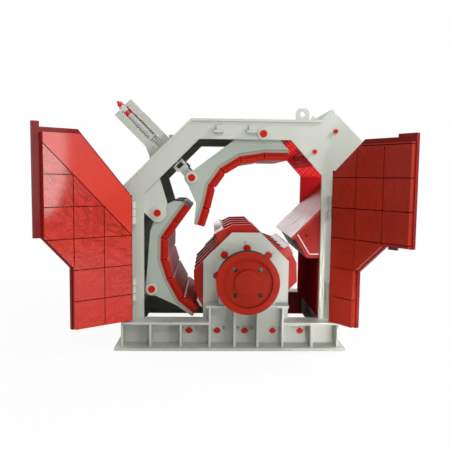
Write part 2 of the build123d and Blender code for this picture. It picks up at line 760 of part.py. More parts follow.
def door_knuckles(zs):
    """Hinge knuckles of a door, each with an arm round to a strap on its outer face."""
    pieces = []
    half = KNUCKLE_H / 2
    for z in zs:
        knuckle = Pos(0, -HINGE_Y, z) * Cylinder(HINGE_R, KNUCKLE_H)
        knuckle += block(0, HINGE_ARM_W, -DOOR_BACK - STRAP_T, -HINGE_Y, z - half, z + half)
        knuckle += block(0, STRAP_LENGTH, -DOOR_BACK - STRAP_T, -DOOR_BACK, z - half, z + half)
        pieces.append(knuckle - Pos(0, -HINGE_Y, z) * Cylinder(HINGE_PIN_R + HINGE_PIN_GAP, 2 * KNUCKLE_H))
    return pieces


def frame_knuckles(x, zs):
    """Hinge brackets on the near side plate, each with two knuckles and a pin."""
    pieces = []
    reach = KNUCKLE_H / 2 + KNUCKLE_GAP
    for z in zs:
        bracket = Pos(x, -HINGE_Y, z) * Cylinder(HINGE_PIN_R, 2 * reach)
        for side in (-1, 1):
            middle = z + side * (reach + KNUCKLE_H / 2)
            bracket += Pos(x, -HINGE_Y, middle) * Cylinder(HINGE_R, KNUCKLE_H)
            bracket += block(
                x - HINGE_LEAF_W / 2,
                x + HINGE_LEAF_W / 2,
                -HINGE_Y,
                -SIDE_OUT,
                middle - KNUCKLE_H / 2,
                middle + KNUCKLE_H / 2,
            )
        pieces.append(bracket)
    return pieces


def hang(shape, hinge_x, swing):
    """Turn a closed door piece about its hinge to the open position."""
    axis = Axis((hinge_x, -HINGE_Y, 0), (0, 0, 1))
    return (Pos(hinge_x, 0, 0) * shape).rotate(axis, swing)


def hang_mirrored(shape, hinge_x, swing):
    """The same for a door drawn the other way round."""
    return hang(mirror(shape, about=Plane.YZ), hinge_x, swing)


def left_outline():
    """Left door as drawn closed, with the hinge at zero."""
    return area(
        (
            (LEFT_EDGE, DOOR_BOTTOM),
            (LEFT_NOTCH_W, DOOR_BOTTOM),
            (LEFT_NOTCH_W, LEFT_NOTCH_Z),
            (LEFT_WIDTH, LEFT_FREE_BOTTOM),
            (LEFT_WIDTH, LEFT_TOP),
            (LEFT_TOP_START, LEFT_TOP),
            (LEFT_EDGE, LEFT_KNEE_Z),
        )
    )


def right_outline():
    """Right door as drawn closed, mirrored so that its width also counts up."""
    return area(
        (
            (RIGHT_EDGE, DOOR_BOTTOM),
            (RIGHT_NOTCH_W, DOOR_BOTTOM),
            (RIGHT_NOTCH_W, RIGHT_NOTCH_Z),
            (RIGHT_FREE_START, RIGHT_FREE_BOTTOM),
            (RIGHT_WIDTH, RIGHT_FREE_BOTTOM),
            (RIGHT_WIDTH, RIGHT_TOP),
            (RIGHT_TOP_START, RIGHT_TOP),
            (RIGHT_EDGE, RIGHT_KNEE_Z),
        )
    )


def between(start, end, share):
    """A point part of the way from one point to another."""
    return start[0] + (end[0] - start[0]) * share, start[1] + (end[1] - start[1]) * share


def liner_blocks(line, half):
    """Apron liner blocks with chamfered striking edges, one to each stretch of the line."""
    back = offset_line(line, -LINER_T)
    deep = LINER_CHAMFER / LINER_T
    pieces = []
    for i in range(len(line) - 1):
        length = hypot(line[i + 1][0] - line[i][0], line[i + 1][1] - line[i][1])
        gap = TILE_GAP / 2 / length
        cut = gap + LINER_CHAMFER / length
        starts = between(line[i], line[i + 1], gap), between(back[i], back[i + 1], gap)
        ends = between(line[i + 1], line[i], gap), between(back[i + 1], back[i], gap)
        corners = (
            between(line[i], line[i + 1], cut),
            between(line[i + 1], line[i], cut),
            between(*ends, deep),
            ends[1],
            starts[1],
            between(*starts, deep),
        )
        pieces.append(stand(area(corners), -half, half))
    return pieces


def apron_frame(line, plate_back, pivot, pin, half, plate_out, middle_bottom):
    """Bent backing plate with two outer web plates and a middle one, bored for pivot and pin."""
    inner = offset_line(line, -LINER_T)
    outer = offset_line(line, -LINER_T - BACKING_T)
    strip_face = area(list(inner) + outer[::-1])
    backing = stand(strip_face, -half, half)
    web = area(list(plate_back) + outer[::-1]) + disc(pivot, PIVOT_LOBE_R) + disc(pin, PIN_LOBE_R)
    web -= area(list(line) + outer[::-1])
    middle = web - disc(pivot, PIVOT_LOBE_R + PIN_R) - disc(pin, PIN_LOBE_R + YOKE_LENGTH)
    middle -= Pos(0, middle_bottom - CUT_OVERRUN) * Rectangle(4 * CUT_OVERRUN, 2 * CUT_OVERRUN)
    web -= disc(pivot, PIN_R + PIN_GAP)
    web -= disc(pin, PIN_R)
    near = stand(web, -plate_out, APRON_PLATE_T - plate_out)
    frame = backing + near + far_twin(near)
    for part in middle.faces():
        if part.distance_to(strip_face) < PIN_GAP:
            frame += stand(part, -MIDDLE_PLATE_T / 2, MIDDLE_PLATE_T / 2)
    return frame


def pin_with_cap(point, face, back):
    """A pin with a collar and cap on a near face, reaching back to a depth."""
    pin = round_bar(point, PIN_R, -face, -back)
    pin += round_bar(point, COLLAR_R, -face - COLLAR_T, -face)
    return pin + round_bar(point, PIN_CAP_R, -face - COLLAR_T - PIN_CAP_T, -face - COLLAR_T)


def hanger():
    """Near bracket inside the frame shoulder that carries the lower apron."""
    outline = area(HANGER_EDGE) + disc(LOWER_PIVOT, PIVOT_LOBE_R) - disc(LOWER_PIVOT, PIN_R)
    return stand(outline, -SIDE_IN, HANGER_T - SIDE_IN)


def rod_place(pin, turn):
    """Place of an adjuster drawn upright over its apron pin."""
    return Pos(pin[0], 0, pin[1]) * Rot(0, turn, 0)


def adjust_rod(arm_length, end):
    """Near adjuster rod drawn upright: arm over the pin, yoke with a window, round rod."""
    top = arm_length + YOKE_LENGTH
    flat = Pos(0, arm_length / 2) * Rectangle(2 * ROD_ARM_HALF, arm_length) + Circle(ROD_ARM_HALF)
    flat += Pos(0, arm_length + YOKE_LENGTH / 2) * Rectangle(2 * YOKE_HALF, YOKE_LENGTH)
    flat -= Pos(0, arm_length + YOKE_LENGTH / 2) * Rectangle(2 * YOKE_WINDOW_HALF, YOKE_WINDOW_LENGTH)
    flat -= Circle(PIN_R + PIN_GAP)
    arm = stand(flat, -ROD_Y - ROD_ARM_T / 2, ROD_ARM_T / 2 - ROD_Y)
    return arm + Pos(0, -ROD_Y, (top + end) / 2) * Cylinder(ROD_R, end - top)


def adjust_rails(start, length):
    """Near adjuster stand drawn upright: foot on the cover and two channel rails."""
    foot = Pos(0, -ROD_Y, start + RAIL_FOOT_T / 2) * Box(2 * RAIL_FOOT_HALF, 2 * RAIL_DEPTH, RAIL_FOOT_T)
    foot -= Pos(0, -ROD_Y, start) * Cylinder(ROD_HOLE_R, CUT_OVERRUN)
    middle = RAIL_IN + RAIL_W / 2
    channel = Pos(middle, -ROD_Y) * Rectangle(RAIL_W, RAIL_DEPTH)
    channel -= Pos(middle + RAIL_WALL_T, -ROD_Y) * Rectangle(RAIL_W, RAIL_DEPTH - 2 * RAIL_WALL_T)
    rail = Pos(0, 0, start + RAIL_FOOT_T) * extrude(channel, length - RAIL_FOOT_T, dir=(0, 0, 1))
    return foot + rail + mirror(rail, about=Plane.YZ)


def adjust_barrel(start, length):
    """Near adjuster barrel drawn upright between its rails, open towards the rod."""
    low = start + BARREL_START
    high = start + length + BARREL_PAST_RAILS
    barrel = Pos(0, -ROD_Y, (low + high) / 2) * Cylinder(BARREL_R, high - low)
    for end in (low, start + length - BARREL_TIE_T):
        barrel += Pos(0, -ROD_Y, end + BARREL_TIE_T / 2) * Box(2 * RAIL_IN, 2 * BARREL_R, BARREL_TIE_T)
    barrel += Pos(0, -ROD_Y, high + BARREL_CAP_T / 2) * Cylinder(BARREL_CAP_R, BARREL_CAP_T)
    tip = high + BARREL_CAP_T
    barrel += Pos(0, -ROD_Y, tip + BARREL_TIP_T / 2) * Cylinder(BARREL_TIP_R, BARREL_TIP_T)
    return barrel - Pos(0, -ROD_Y, low + BARREL_BORE_DEPTH / 2) * Cylinder(BARREL_BORE_R, BARREL_BORE_DEPTH)


def pair(shape):
    """A near piece and its far twin."""
    return shape, far_twin(shape)


# Base, pedestals and bearings
beam = side_base_beam()
write("near_base_beam", beam)
write("far_base_beam", far_twin(beam))
end_beam = end_base_beam()
write("end_base_beams", end_beam, mirror(end_beam, about=Plane.YZ))
write("bearing_pedestals", *pair(pedestal()))
write("bearing_housings", *pair(bearing_housing()))
write("bearing_plates", *pair(bearing_plate()))

# Frame, covers and feed chute
side = side_plate()
write("near_side_plate", side)
write("far_side_plate", far_twin(side))
for name, cover in zip(("left_wall", "left_shoulder_cover", "roof_plate", "hood_roof"), covers()):
    write(name, cover)
floor_start = 2 * WALL_IN + FEED_PLATE_UNDER_LEVEL
write("feed_floor", chute_plate(CHUTE_FLOOR_LEVEL, FEED_PLATE_UNDER_LEVEL, floor_start, MOUTH_REACH))
feed_tip = feed_box_tip_reach() - FEED_TIP_LIP
write("feed_plate", chute_plate(FEED_PLATE_UNDER_LEVEL, FEED_PLATE_TOP_LEVEL, feed_tip, MOUTH_REACH))
write("feed_plate_box", feed_box())
write("right_wall", right_wall())
write("right_wall_liners", *wall_tiles())
write("curtain_rods", *[curtain_rod(point) for point in curtain_points()])
write("chain_curtains", *[chain for point in curtain_points() for chain in curtain_chains(point)])
write("lifting_eyes", *pair(lifting_eye()))
write("clamp_lugs", *[clamp_lug(x) for x in LUG_XS])
cap_points = [(x, BASE_CAP_Z) for x in BASE_CAP_XS] + list(PLATE_CAP_POINTS)
write("liner_bolt_caps", *[liner_cap(point, SIDE_OUT) for point in cap_points])

# Rotor
write("rotor_discs", *rotor_discs())
write("rotor_core", rotor_core())
write("blow_bars", *[blow_bar(angle) for angle in bar_angles()])
write("rotor_shaft", shaft())
write("belt_pulley", pulley())

# Doors, drawn closed and hung open
left_plain = area(
    ((0, LEFT_PLAIN_HINGE_Z), (LEFT_WIDTH, LEFT_PLAIN_TOP_Z), (LEFT_WIDTH, LEFT_TOP), (0, LEFT_TOP))
)
left_bar = block(
    LEFT_WIDTH,
    LEFT_WIDTH + MEETING_BAR_W,
    -DOOR_BACK,
    -DOOR_TILE_BACK,
    LEFT_FREE_BOTTOM,
    LEFT_TOP + MEETING_BAR_UP,
)
right_lug = block(
    RIGHT_WIDTH - RIGHT_LUG_W, RIGHT_WIDTH, -DOOR_BACK, -DOOR_TILE_BACK, RIGHT_TOP, RIGHT_TOP + RIGHT_LUG_UP
)
left_panel = door_panel(left_outline(), LEFT_WIDTH, LEFT_RIB_ZS) + left_bar
right_panel = door_panel(right_outline(), RIGHT_WIDTH, RIGHT_RIB_ZS) + right_lug
left_tiles = door_tiles(left_outline(), left_plain, LEFT_COLUMNS, LEFT_WIDTH)
right_tiles = door_tiles(right_outline(), None, RIGHT_COLUMNS, RIGHT_WIDTH)
write("left_door_panel", hang(left_panel, -LEFT_HINGE_X, -LEFT_SWING))
write("left_door_liners", *[hang(tile, -LEFT_HINGE_X, -LEFT_SWING) for tile in left_tiles])
left_hinges = door_knuckles(LEFT_HINGE_ZS)
write("left_door_knuckles", *[hang(hinge, -LEFT_HINGE_X, -LEFT_SWING) for hinge in left_hinges])
write("right_door_panel", hang_mirrored(right_panel, RIGHT_HINGE_X, RIGHT_SWING))
write("right_door_liners", *[hang_mirrored(tile, RIGHT_HINGE_X, RIGHT_SWING) for tile in right_tiles])
right_hinges = door_knuckles(RIGHT_HINGE_ZS)
write("right_door_knuckles", *[hang_mirrored(hinge, RIGHT_HINGE_X, RIGHT_SWING) for hinge in right_hinges])
left_brackets = frame_knuckles(-LEFT_HINGE_X, LEFT_HINGE_ZS)
right_brackets = frame_knuckles(RIGHT_HINGE_X, RIGHT_HINGE_ZS)
write("hinge_brackets", *left_brackets, *right_brackets)

# Aprons with their pivots and pins
upper_frame = apron_frame(
    UPPER_FACE_LINE,
    UPPER_PLATE_BACK,
    UPPER_PIVOT,
    UPPER_PIN,
    UPPER_APRON_HALF,
    UPPER_PLATE_OUT,
    UPPER_MIDDLE_BOTTOM,
)
lower_frame = apron_frame(
    LOWER_FACE_LINE,
    LOWER_PLATE_BACK,
    LOWER_PIVOT,
    LOWER_PIN,
    LOWER_APRON_HALF,
    LOWER_PLATE_OUT,
    LOWER_MIDDLE_BOTTOM,
)
write("upper_apron_frame", upper_frame)
write("upper_apron_liners", *liner_blocks(UPPER_FACE_LINE, UPPER_APRON_HALF))
write("lower_apron_frame", lower_frame)
write("lower_apron_liners", *liner_blocks(LOWER_FACE_LINE, LOWER_APRON_HALF))
rod_back = ROD_Y - ROD_ARM_T / 2
upper_pivot = pin_with_cap(UPPER_PIVOT, SIDE_OUT, UPPER_PLATE_OUT - APRON_PLATE_T)
lower_pivot = pin_with_cap(LOWER_PIVOT, SIDE_IN, LOWER_PLATE_OUT - APRON_PLATE_T)
write("apron_pivot_pins", *pair(upper_pivot), *pair(lower_pivot))
write("upper_adjust_pins", *pair(pin_with_cap(UPPER_PIN, UPPER_PLATE_OUT, rod_back)))
write("lower_adjust_pins", *pair(pin_with_cap(LOWER_PIN, LOWER_PLATE_OUT, rod_back)))
write("lower_apron_hangers", *pair(hanger()))

# Apron adjusters
shoulder_level = RING_KNEE_Z - RING_LEFT
upper_cover = (shoulder_level - UPPER_PIN[1] + UPPER_PIN[0]) / sqrt(2) + COVER_T
lower_cover = LOWER_PIN[0] - RING_LEFT + COVER_T


upper_place = rod_place(UPPER_PIN, UPPER_ROD_TURN)
lower_place = rod_place(LOWER_PIN, LOWER_ROD_TURN)
upper_rod = adjust_rod(UPPER_ARM_LENGTH, upper_cover + ROD_END_PAST_COVER)
lower_rod = adjust_rod(LOWER_ARM_LENGTH, lower_cover + ROD_END_PAST_COVER)
write("upper_adjust_rods", *pair(upper_place * upper_rod))
write("lower_adjust_rods", *pair(lower_place * lower_rod))
upper_rails = upper_place * adjust_rails(upper_cover, UPPER_RAIL_LENGTH)
lower_rails = lower_place * adjust_rails(lower_cover, LOWER_RAIL_LENGTH)
write("adjuster_rails", *pair(upper_rails), *pair(lower_rails))
upper_barrel = upper_place * adjust_barrel(upper_cover, UPPER_RAIL_LENGTH)
lower_barrel = lower_place * adjust_barrel(lower_cover, LOWER_RAIL_LENGTH)
write("adjuster_barrels", *pair(upper_barrel), *pair(lower_barrel))
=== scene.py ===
"""Paint, small fittings, light and camera for the opened impact crusher.

Lengths are in metres, in the frame of the solids: X to the feed side, Y away from the
pulley side, Z up from the ground. On the slopes at forty-five degrees, a level is z minus x
and a reach is x plus z.
"""

import math

import bmesh
import bpy
from mathutils import Matrix, Vector


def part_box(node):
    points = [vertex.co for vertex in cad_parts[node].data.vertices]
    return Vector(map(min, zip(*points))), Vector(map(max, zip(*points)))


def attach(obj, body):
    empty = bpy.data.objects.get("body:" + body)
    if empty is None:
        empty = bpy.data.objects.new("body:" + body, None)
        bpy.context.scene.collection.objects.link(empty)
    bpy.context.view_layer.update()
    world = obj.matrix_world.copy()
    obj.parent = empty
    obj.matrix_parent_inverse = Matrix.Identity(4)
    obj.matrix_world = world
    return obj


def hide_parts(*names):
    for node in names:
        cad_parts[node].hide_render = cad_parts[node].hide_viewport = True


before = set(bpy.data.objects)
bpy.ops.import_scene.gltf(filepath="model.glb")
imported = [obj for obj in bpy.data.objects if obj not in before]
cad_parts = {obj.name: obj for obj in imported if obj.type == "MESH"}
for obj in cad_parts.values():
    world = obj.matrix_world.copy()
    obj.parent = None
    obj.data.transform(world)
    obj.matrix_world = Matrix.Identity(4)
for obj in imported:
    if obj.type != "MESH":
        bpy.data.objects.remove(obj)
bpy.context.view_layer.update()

# Frame and base, where the solids have them
SIDE_OUT = 0.690
SIDE_IN = 0.650
LEFT_WALL_OUT = -1.080
SHOULDER_LEVEL = 2.740
RIGHT_WALL_IN = 0.966
RIGHT_WALL_OUT = 1.006
BASE_TOP = 0.285
BASE_TOP_FLANGE = 0.025
BASE_FOOT_TOP = 0.030
BASE_RIB_FRONT = 0.855
RIB_HALF = 0.011
BASE_RIBS = (-1.103, -0.816, -0.506, 0.837, 1.103)
PEDESTAL_RIBS = (-0.211, 0.044, 0.280, 0.537)
PEDESTAL_UNDER = 0.434
BEARING_PLATE_X = (-0.283, 0.609)
BASE_CAPS = ((-0.427, 0.165), (-0.133, 0.165), (0.156, 0.165), (0.449, 0.165), (0.738, 0.165))
PLATE_CAPS = ((-0.065, 0.960), (0.171, 1.031), (0.393, 0.956), (-0.143, 0.741), (0.469, 0.741))

# Rotor and pulley
SHAFT = (0.163, 0.722)
HOUSING_COVER_FACE = 0.850
PULLEY_FRONT = -1.025
GROOVE_RADIUS = 0.285

# Feed: curtains, feed plate and the box under it
CURTAIN_RODS = ((0.8505, 2.0325), (1.0605, 2.2425))
CHAIN_LENGTH = 0.140
CHAIN_COUNT = 26
CHAIN_SPAN = 1.210
FEED_TOP_LEVEL = 0.510
NOSE_POINT = (0.669, 1.137)
NOSE_ACROSS = (0.851, 0.526)

# Aprons and their adjusters
UPPER_PIVOT = (0.320, 2.208)
UPPER_PIN = (-0.411, 1.755)
LOWER_PIVOT = (-0.763, 1.386)
LOWER_PIN = (-0.826, 0.580)
PIN_CAP_EDGE = 0.0365
UPPER_FACE_LINE = (
    (0.593, 1.941), (0.343, 1.941), (0.111, 1.902), (-0.061, 1.796),
    (-0.167, 1.646), (-0.217, 1.426), (-0.277, 1.237),
)
LOWER_FACE_LINE = (
    (-0.418, 1.437), (-0.540, 1.268), (-0.654, 1.101), (-0.657, 0.898),
    (-0.599, 0.710), (-0.485, 0.501), (-0.327, 0.369),
)
UPPER_LINER_END = 0.625
LOWER_LINER_END = 0.595
LINER_SEAM_DEPTH = 0.056
ADJUSTER_Y = 0.540
UPPER_FOOT = 0.453
LOWER_FOOT = 0.301
UPPER_BARREL_END = 1.0309
LOWER_BARREL_END = 0.749
BETWEEN_ADJUSTERS = 1.4
RAIL_EDGE = 0.116

# Doors: widths run from the hinge, depths from the middle of the frame
LEFT_HINGE_X = -1.000
RIGHT_HINGE_X = 1.020
HINGE_Y = -0.765
LEFT_SWING = -144
RIGHT_SWING = 126
LEFT_HINGES = (0.605, 1.395)
RIGHT_HINGES = (0.577, 1.476)
DOOR_BACK = 0.800
DOOR_EDGE_BOTTOM = 0.296
LEFT_EDGE = 0.040
LEFT_EDGE_TOP = 1.575
LEFT_PLAIN_LINE = 1.130
RIGHT_EDGE = 0.060
RIGHT_EDGE_TOP = 1.840
RIGHT_STEP = 1.138
LOW_NUTS = (0.36, 0.50, 0.65, 0.80, 0.95, 1.11)
LEFT_NUTS = (
    ((0.12, 0.26), LOW_NUTS + (1.25, 1.40)),
    ((0.42, 0.56), LOW_NUTS + (1.25, 1.40, 1.55)),
    ((0.73, 0.86), (1.25, 1.40, 1.55, 1.76, 1.92, 2.08)),
)
RIGHT_NUTS = (
    ((0.12, 0.28), LOW_NUTS + (1.28, 1.40, 1.55)),
    ((0.43, 0.58, 0.74, 0.88), (1.28, 1.42, 1.56, 1.80, 1.95, 2.08)),
)

# Where paints start and stop
SKIN = 0.001
LINING_LEVELS = (0.45, 1.50)
LINING_REACH = 2.30
FAR_LINING_X = (0.45, 0.99)
NOSE_LINE = (0.046, 0.056)
NOSE_FACE = 0.012
BOX_FLOOR_LINE = (0.966, 0.976)
BARREL_RED_BAND = (-0.120, -0.070)
# Pitch and share of the pale dashes painted as highlights on the chute lining
GLINT_PITCH = (0.050, 0.085)
GLINT_SHARE = (0.16, 0.62)

# Over what distance a paint comes in, from none of it to all of it
SOILED = (0.55, 0.0)
# Heights below which the chute lining turns darker as painted shade
LINING_SHADE_HEIGHTS = (1.80, 1.77)
DOOR_WET = (0.35, 1.15)
# Heights over which the left door's plain panel pales as a painted highlight
DOOR_SHEEN_HEIGHTS = (1.70, 2.20)
BAR_INNER = (0.614, 0.606)
BAR_BARE = (0.505, 0.535)
BAR_TIP = (0.562, 0.572)
FEED_REACH = (1.86, 2.24)

# Paints, in linear light
FRAME_GREY = (0.490, 0.512, 0.450)
FRAME_SHADE = (0.370, 0.380, 0.325)
# Apron plates: greenish grey, darker than the frame as painted shade in their recess
APRON_SHADED_GREY = (0.350, 0.395, 0.345)
APRON_SHADE = (0.300, 0.330, 0.285)
# Inside faces: a darker brown-grey that stands for painted shade
INNER_SHADE_GREY = (0.420, 0.410, 0.350)
# Brown-grey painted shade on the recessed ends of the apron backing plates
BACKING_SHADE_BROWN = (0.250, 0.230, 0.175)
LEFT_DOOR_RED = (0.540, 0.024, 0.008)
LEFT_DOOR_DEEP = (0.420, 0.010, 0.003)
# Pale pink painted highlight on the top of the left door's plain panel
DOOR_SHEEN_PINK = (0.420, 0.060, 0.055)
# Right door red, darker than the left: partly its own paint, partly painted shade
RIGHT_DOOR_SHADED_RED = (0.310, 0.017, 0.006)
RIGHT_DOOR_DEEP = (0.170, 0.008, 0.004)
DOOR_EDGE_RED = (0.200, 0.007, 0.007)
LINER_RED = (0.450, 0.015, 0.006)
LINER_DEEP = (0.230, 0.009, 0.006)
ROTOR_RED = (0.400, 0.014, 0.008)
MAROON = (0.280, 0.010, 0.010)
MAROON_DEEP = (0.120, 0.005, 0.005)
CURTAIN_RED = (0.950, 0.010, 0.012)
# Darker lining red: painted shade below the chute's knee, and the chains' darker tone
LINING_DEEP = (0.560, 0.003, 0.010)
# Pale dashes painted as highlights on the chute lining
GLINT_PALE = (0.900, 0.480, 0.460)
CAP_RED = (0.480, 0.010, 0.003)
PULLEY_RED = (0.340, 0.015, 0.003)
PULLEY_DEEP = (0.250, 0.011, 0.003)
RIM_BLACK = (0.022, 0.026, 0.032)
WORN_WHITE = (0.720, 0.700, 0.690)
STEEL = (0.420, 0.420, 0.410)
DARK_STEEL = (0.160, 0.155, 0.150)
BARREL_GREY = (0.500, 0.500, 0.480)
BAND_PALE = (0.620, 0.620, 0.600)
BARREL_RED = (0.640, 0.030, 0.008)
NOSE_DARK = (0.030, 0.012, 0.014)
PAD_BLACK = (0.020, 0.020, 0.022)
FLOOR_PALE = (0.86, 0.86, 0.86)


class Value:
    """One output in a node tree; sums, products and comparisons of these add Math nodes."""

    def __init__(self, tree, socket):
        self.tree = tree
        self.socket = socket

    def work(self, operation, first, second):
        return self.tree.node("ShaderNodeMath", {"operation": operation}, {0: first, 1: second})

    def __add__(self, other):
        return self.work("ADD", self, other)

    def __sub__(self, other):
        return self.work("SUBTRACT", self, other)

    def __rsub__(self, other):
        return self.work("SUBTRACT", other, self)

    def __mul__(self, other):
        return self.work("MULTIPLY", self, other)

    def __truediv__(self, other):
        return self.work("DIVIDE", self, other)

    def __rtruediv__(self, other):
        return self.work("DIVIDE", other, self)

    def __pow__(self, other):
        return self.work("POWER", self, other)

    def __rpow__(self, other):
        return self.work("POWER", other, self)

    def __gt__(self, other):
        return self.work("GREATER_THAN", self, other)

    def __lt__(self, other):
        return self.work("LESS_THAN", self, other)

    def __or__(self, other):
        return self.work("MAXIMUM", self, other)

    def __and__(self, other):
        return self.work("MINIMUM", self, other)

    __radd__, __rmul__, __ror__, __rand__ = __add__, __mul__, __or__, __and__

    def between(self, low, high):
        """One between two numbers, zero elsewhere."""
        return (self > low) & (self < high)

    def size(self):
        """The number without its sign."""
        return self.work("ABSOLUTE", self, 0)

    def cycle(self, period):
        """How far along each repeat of a period, from zero to one."""
        return self.work("FLOORED_MODULO", self, period) / period


class Tree:
    """A node tree, with one way to add any node."""

    def __init__(self, tree):
        self.tree = tree

    def node(self, kind, settings, sockets, output=0):
        """Add a node: its settings first, then the values or links of its sockets."""
        made = self.tree.nodes.new(kind)
        for setting, value in settings.items():
            setattr(made, setting, value)
        for socket, value in sockets.items():
            self.join(made.inputs[socket], value)
        return Value(self, made.outputs[output])

    def join(self, socket, value):
        """Link a value to a socket, or set a plain number or colour on it."""
        if isinstance(value, Value):
            self.tree.links.new(value.socket, socket)
        elif socket.type == "RGBA":
            socket.default_value = (*value, 1)
        else:
            socket.default_value = value

    def ray(self, kind):
        """One for the named kind of light ray, zero for the others."""
        return self.node("ShaderNodeLightPath", {}, {}, kind)


class Paint(Tree):
    """A material on one principled shader, with short ways to its usual nodes."""

    def __init__(self, name, **constants):
        self.material = bpy.data.materials.new(name)
        self.material.use_nodes = True
        super().__init__(self.material.node_tree)
        self.shader = self.tree.nodes["Principled BSDF"]
        for socket, value in constants.items():
            self.show(socket.replace("_", " "), value)

    def show(self, socket, value):
        """Set or link one of the shader's sockets."""
        self.join(self.shader.inputs[socket], value)

    def place(self):
        """The place on the piece, in the frame of the solids."""
        return self.node("ShaderNodeTexCoord", {}, {}, "Object")

    def along(self, axes):
        """The place on each of the named axes, such as XZ."""
        split = self.node("ShaderNodeSeparateXYZ", {}, {0: self.place()}).socket.node
        return [Value(self, split.outputs[axis]) for axis in axes]

    def noise(self, scale, detail=3, roughness=0.55, stretch=(1, 1, 1), swirl=0):
        """Cloudy noise over the piece, from zero to one."""
        settings = {"operation": "MULTIPLY"}
        place = self.node("ShaderNodeVectorMath", settings, {0: self.place(), 1: stretch})
        sockets = {
            "Vector": place,
            "Scale": scale,
            "Detail": detail,
            "Roughness": roughness,
            "Distortion": swirl,
        }
        return self.node("ShaderNodeTexNoise", {}, sockets, "Fac")

    def spread(self, value, low, high):
        """Zero up to low, one from high, and even in between."""
        sockets = {"Value": value, "From Min": low, "From Max": high}
        return self.node("ShaderNodeMapRange", {"clamp": True}, sockets)

    def mix(self, mask, first, second):
        """The first colour, or the second where the mask is one."""
        sockets = {0: mask, 6: first, 7: second}
        return self.node("ShaderNodeMix", {"data_type": "RGBA"}, sockets, 2)

    def bump(self, height, strength, distance):
        sockets = {"Height": height, "Strength": strength, "Distance": distance}
        self.show("Normal", self.node("ShaderNodeBump", {}, sockets))

    def ring(self, centre):
        """How far from an axis along Y."""
        x, z = self.along("XZ")
        across, up = x - centre[0], z - centre[1]
        return (across * across + up * up) ** 0.5


def frame_paint(name, light=FRAME_GREY, shade=FRAME_SHADE, coat=0.12, shine=0.35):
    """Pale warm enamel, clouded, with soiling towards the ground: the paint and its colour."""
    paint = Paint(name, Coat_Weight=coat, Coat_Roughness=0.25, Specular_IOR_Level=shine)
    [z] = paint.along("Z")
    cloud = paint.spread(paint.noise(1.6, 4), 0.35, 0.75)
    wear = paint.spread(paint.noise(24, 3), 0.62, 0.80)
    low = paint.spread(z, *SOILED)
    dust = paint.spread(paint.noise(9, 5, 0.7), 0.42, 0.72)
    return paint, paint.mix(cloud * 0.35 + low * dust * 0.35 + wear * 0.12, light, shade)


def finish_frame(paint, colour):
    """The enamel's colour, gloss and slight unevenness."""
    paint.show("Base Color", colour)
    paint.show("Roughness", paint.noise(6, 3) * 0.20 + 0.32)
    paint.bump(paint.noise(7, 3), 0.06, 0.004)
    return paint.material


def side_plate_paint(name):
    """Side plates: grey outside, darker brown-grey inside as painted shade, and in the feed chute
    a red lining, bright above with pale dashes as painted highlights and darker below as painted
    shade.
    """
    paint, grey = frame_paint(name)
    x, y, z = paint.along("XYZ")
    level, reach = z - x, x + z
    inside = y.size() < SIDE_IN + SKIN
    lining = inside & level.between(*LINING_LEVELS) & (reach > LINING_REACH)
    # Painted shade: the lining turns darker red below the chute's knee
    lower_shade = paint.spread(z, *LINING_SHADE_HEIGHTS)
    # Painted highlights: pale dashes in rows along the slope on the upper lining
    glint_rows = reach.cycle(GLINT_PITCH[0]) < GLINT_SHARE[0]
    glint_runs = level.cycle(GLINT_PITCH[1]) < GLINT_SHARE[1]
    red = paint.mix(lower_shade, CURTAIN_RED, LINING_DEEP)
    glinted = paint.mix((glint_rows & glint_runs & (1 - lower_shade)) * 0.6, red, GLINT_PALE)
    # Inside faces take the darker brown-grey as painted shade
    return finish_frame(paint, paint.mix(lining, paint.mix(inside, grey, INNER_SHADE_GREY), glinted))


def left_wall_paint():
    """Left wall and shoulder: grey outside, a darker brown-grey inside as painted shade."""
    paint, grey = frame_paint("left_shell_enamel")
    x, z = paint.along("XZ")
    inside = (x > LEFT_WALL_OUT + SKIN) & (z - x < SHOULDER_LEVEL - SKIN)
    # Inside faces take the darker brown-grey as painted shade
    return finish_frame(paint, paint.mix(inside, grey, INNER_SHADE_GREY))


def right_wall_paint():
    """Right wall: maroon on the chamber side, grey outside."""
    paint, grey = frame_paint("right_wall_enamel")
    [x] = paint.along("X")
    return finish_frame(paint, paint.mix(x < RIGHT_WALL_IN + SKIN, grey, MAROON))


def far_base_paint():
    """Far base beam: grey, with maroon lining where it faces the discharge by the right wall."""
    paint, grey = frame_paint("far_base_enamel")
    x, y = paint.along("XY")
    lining = x.between(*FAR_LINING_X) & (y < SIDE_OUT)
    return finish_frame(paint, paint.mix(lining, grey, MAROON))


def apron_paint(name, liner_end):
    """Apron frames: greenish grey plates, darker than the frame as painted shade in their recess,
    with the recessed ends of the backing plate painted brown-grey as painted shade.
    """
    # Greenish grey, darker than the frame as painted shade
    paint, grey = frame_paint(name, APRON_SHADED_GREY, APRON_SHADE)
    [y] = paint.along("Y")
    # Painted shade: the backing plate's recessed ends in brown-grey
    backing = y.size().between(liner_end - SKIN, liner_end + SKIN)
    return finish_frame(paint, paint.mix(backing * 0.8, grey, BACKING_SHADE_BROWN))


def cast_red(name, light, deep, scale, depth, coat, shine=0.10):
    """Red paint over rough castings, darker in the low spots of the bump as painted shade."""
    paint = Paint(name, Coat_Weight=coat, Coat_Roughness=0.10, Specular_IOR_Level=shine)
    lumps = paint.noise(scale, 4, 0.55, swirl=1.2)
    grains = paint.noise(scale * 6, 3, 0.6)
    stains = paint.spread(paint.noise(2.3, 5, 0.65), 0.40, 0.75)
    scuffs = paint.spread(paint.noise(17, 5, 0.7), 0.62, 0.76)
    # Random stains, and painted shade in the low spots of the bump
    shade = paint.mix(stains * 0.40 + (1 - lumps) * 0.25, light, deep)
    paint.show("Base Color", paint.mix(scuffs * 0.35, shade, deep))
    paint.show("Roughness", grains * 0.25 + 0.30)
    paint.bump(lumps + grains * 0.15, 0.60, depth)
    return paint.material


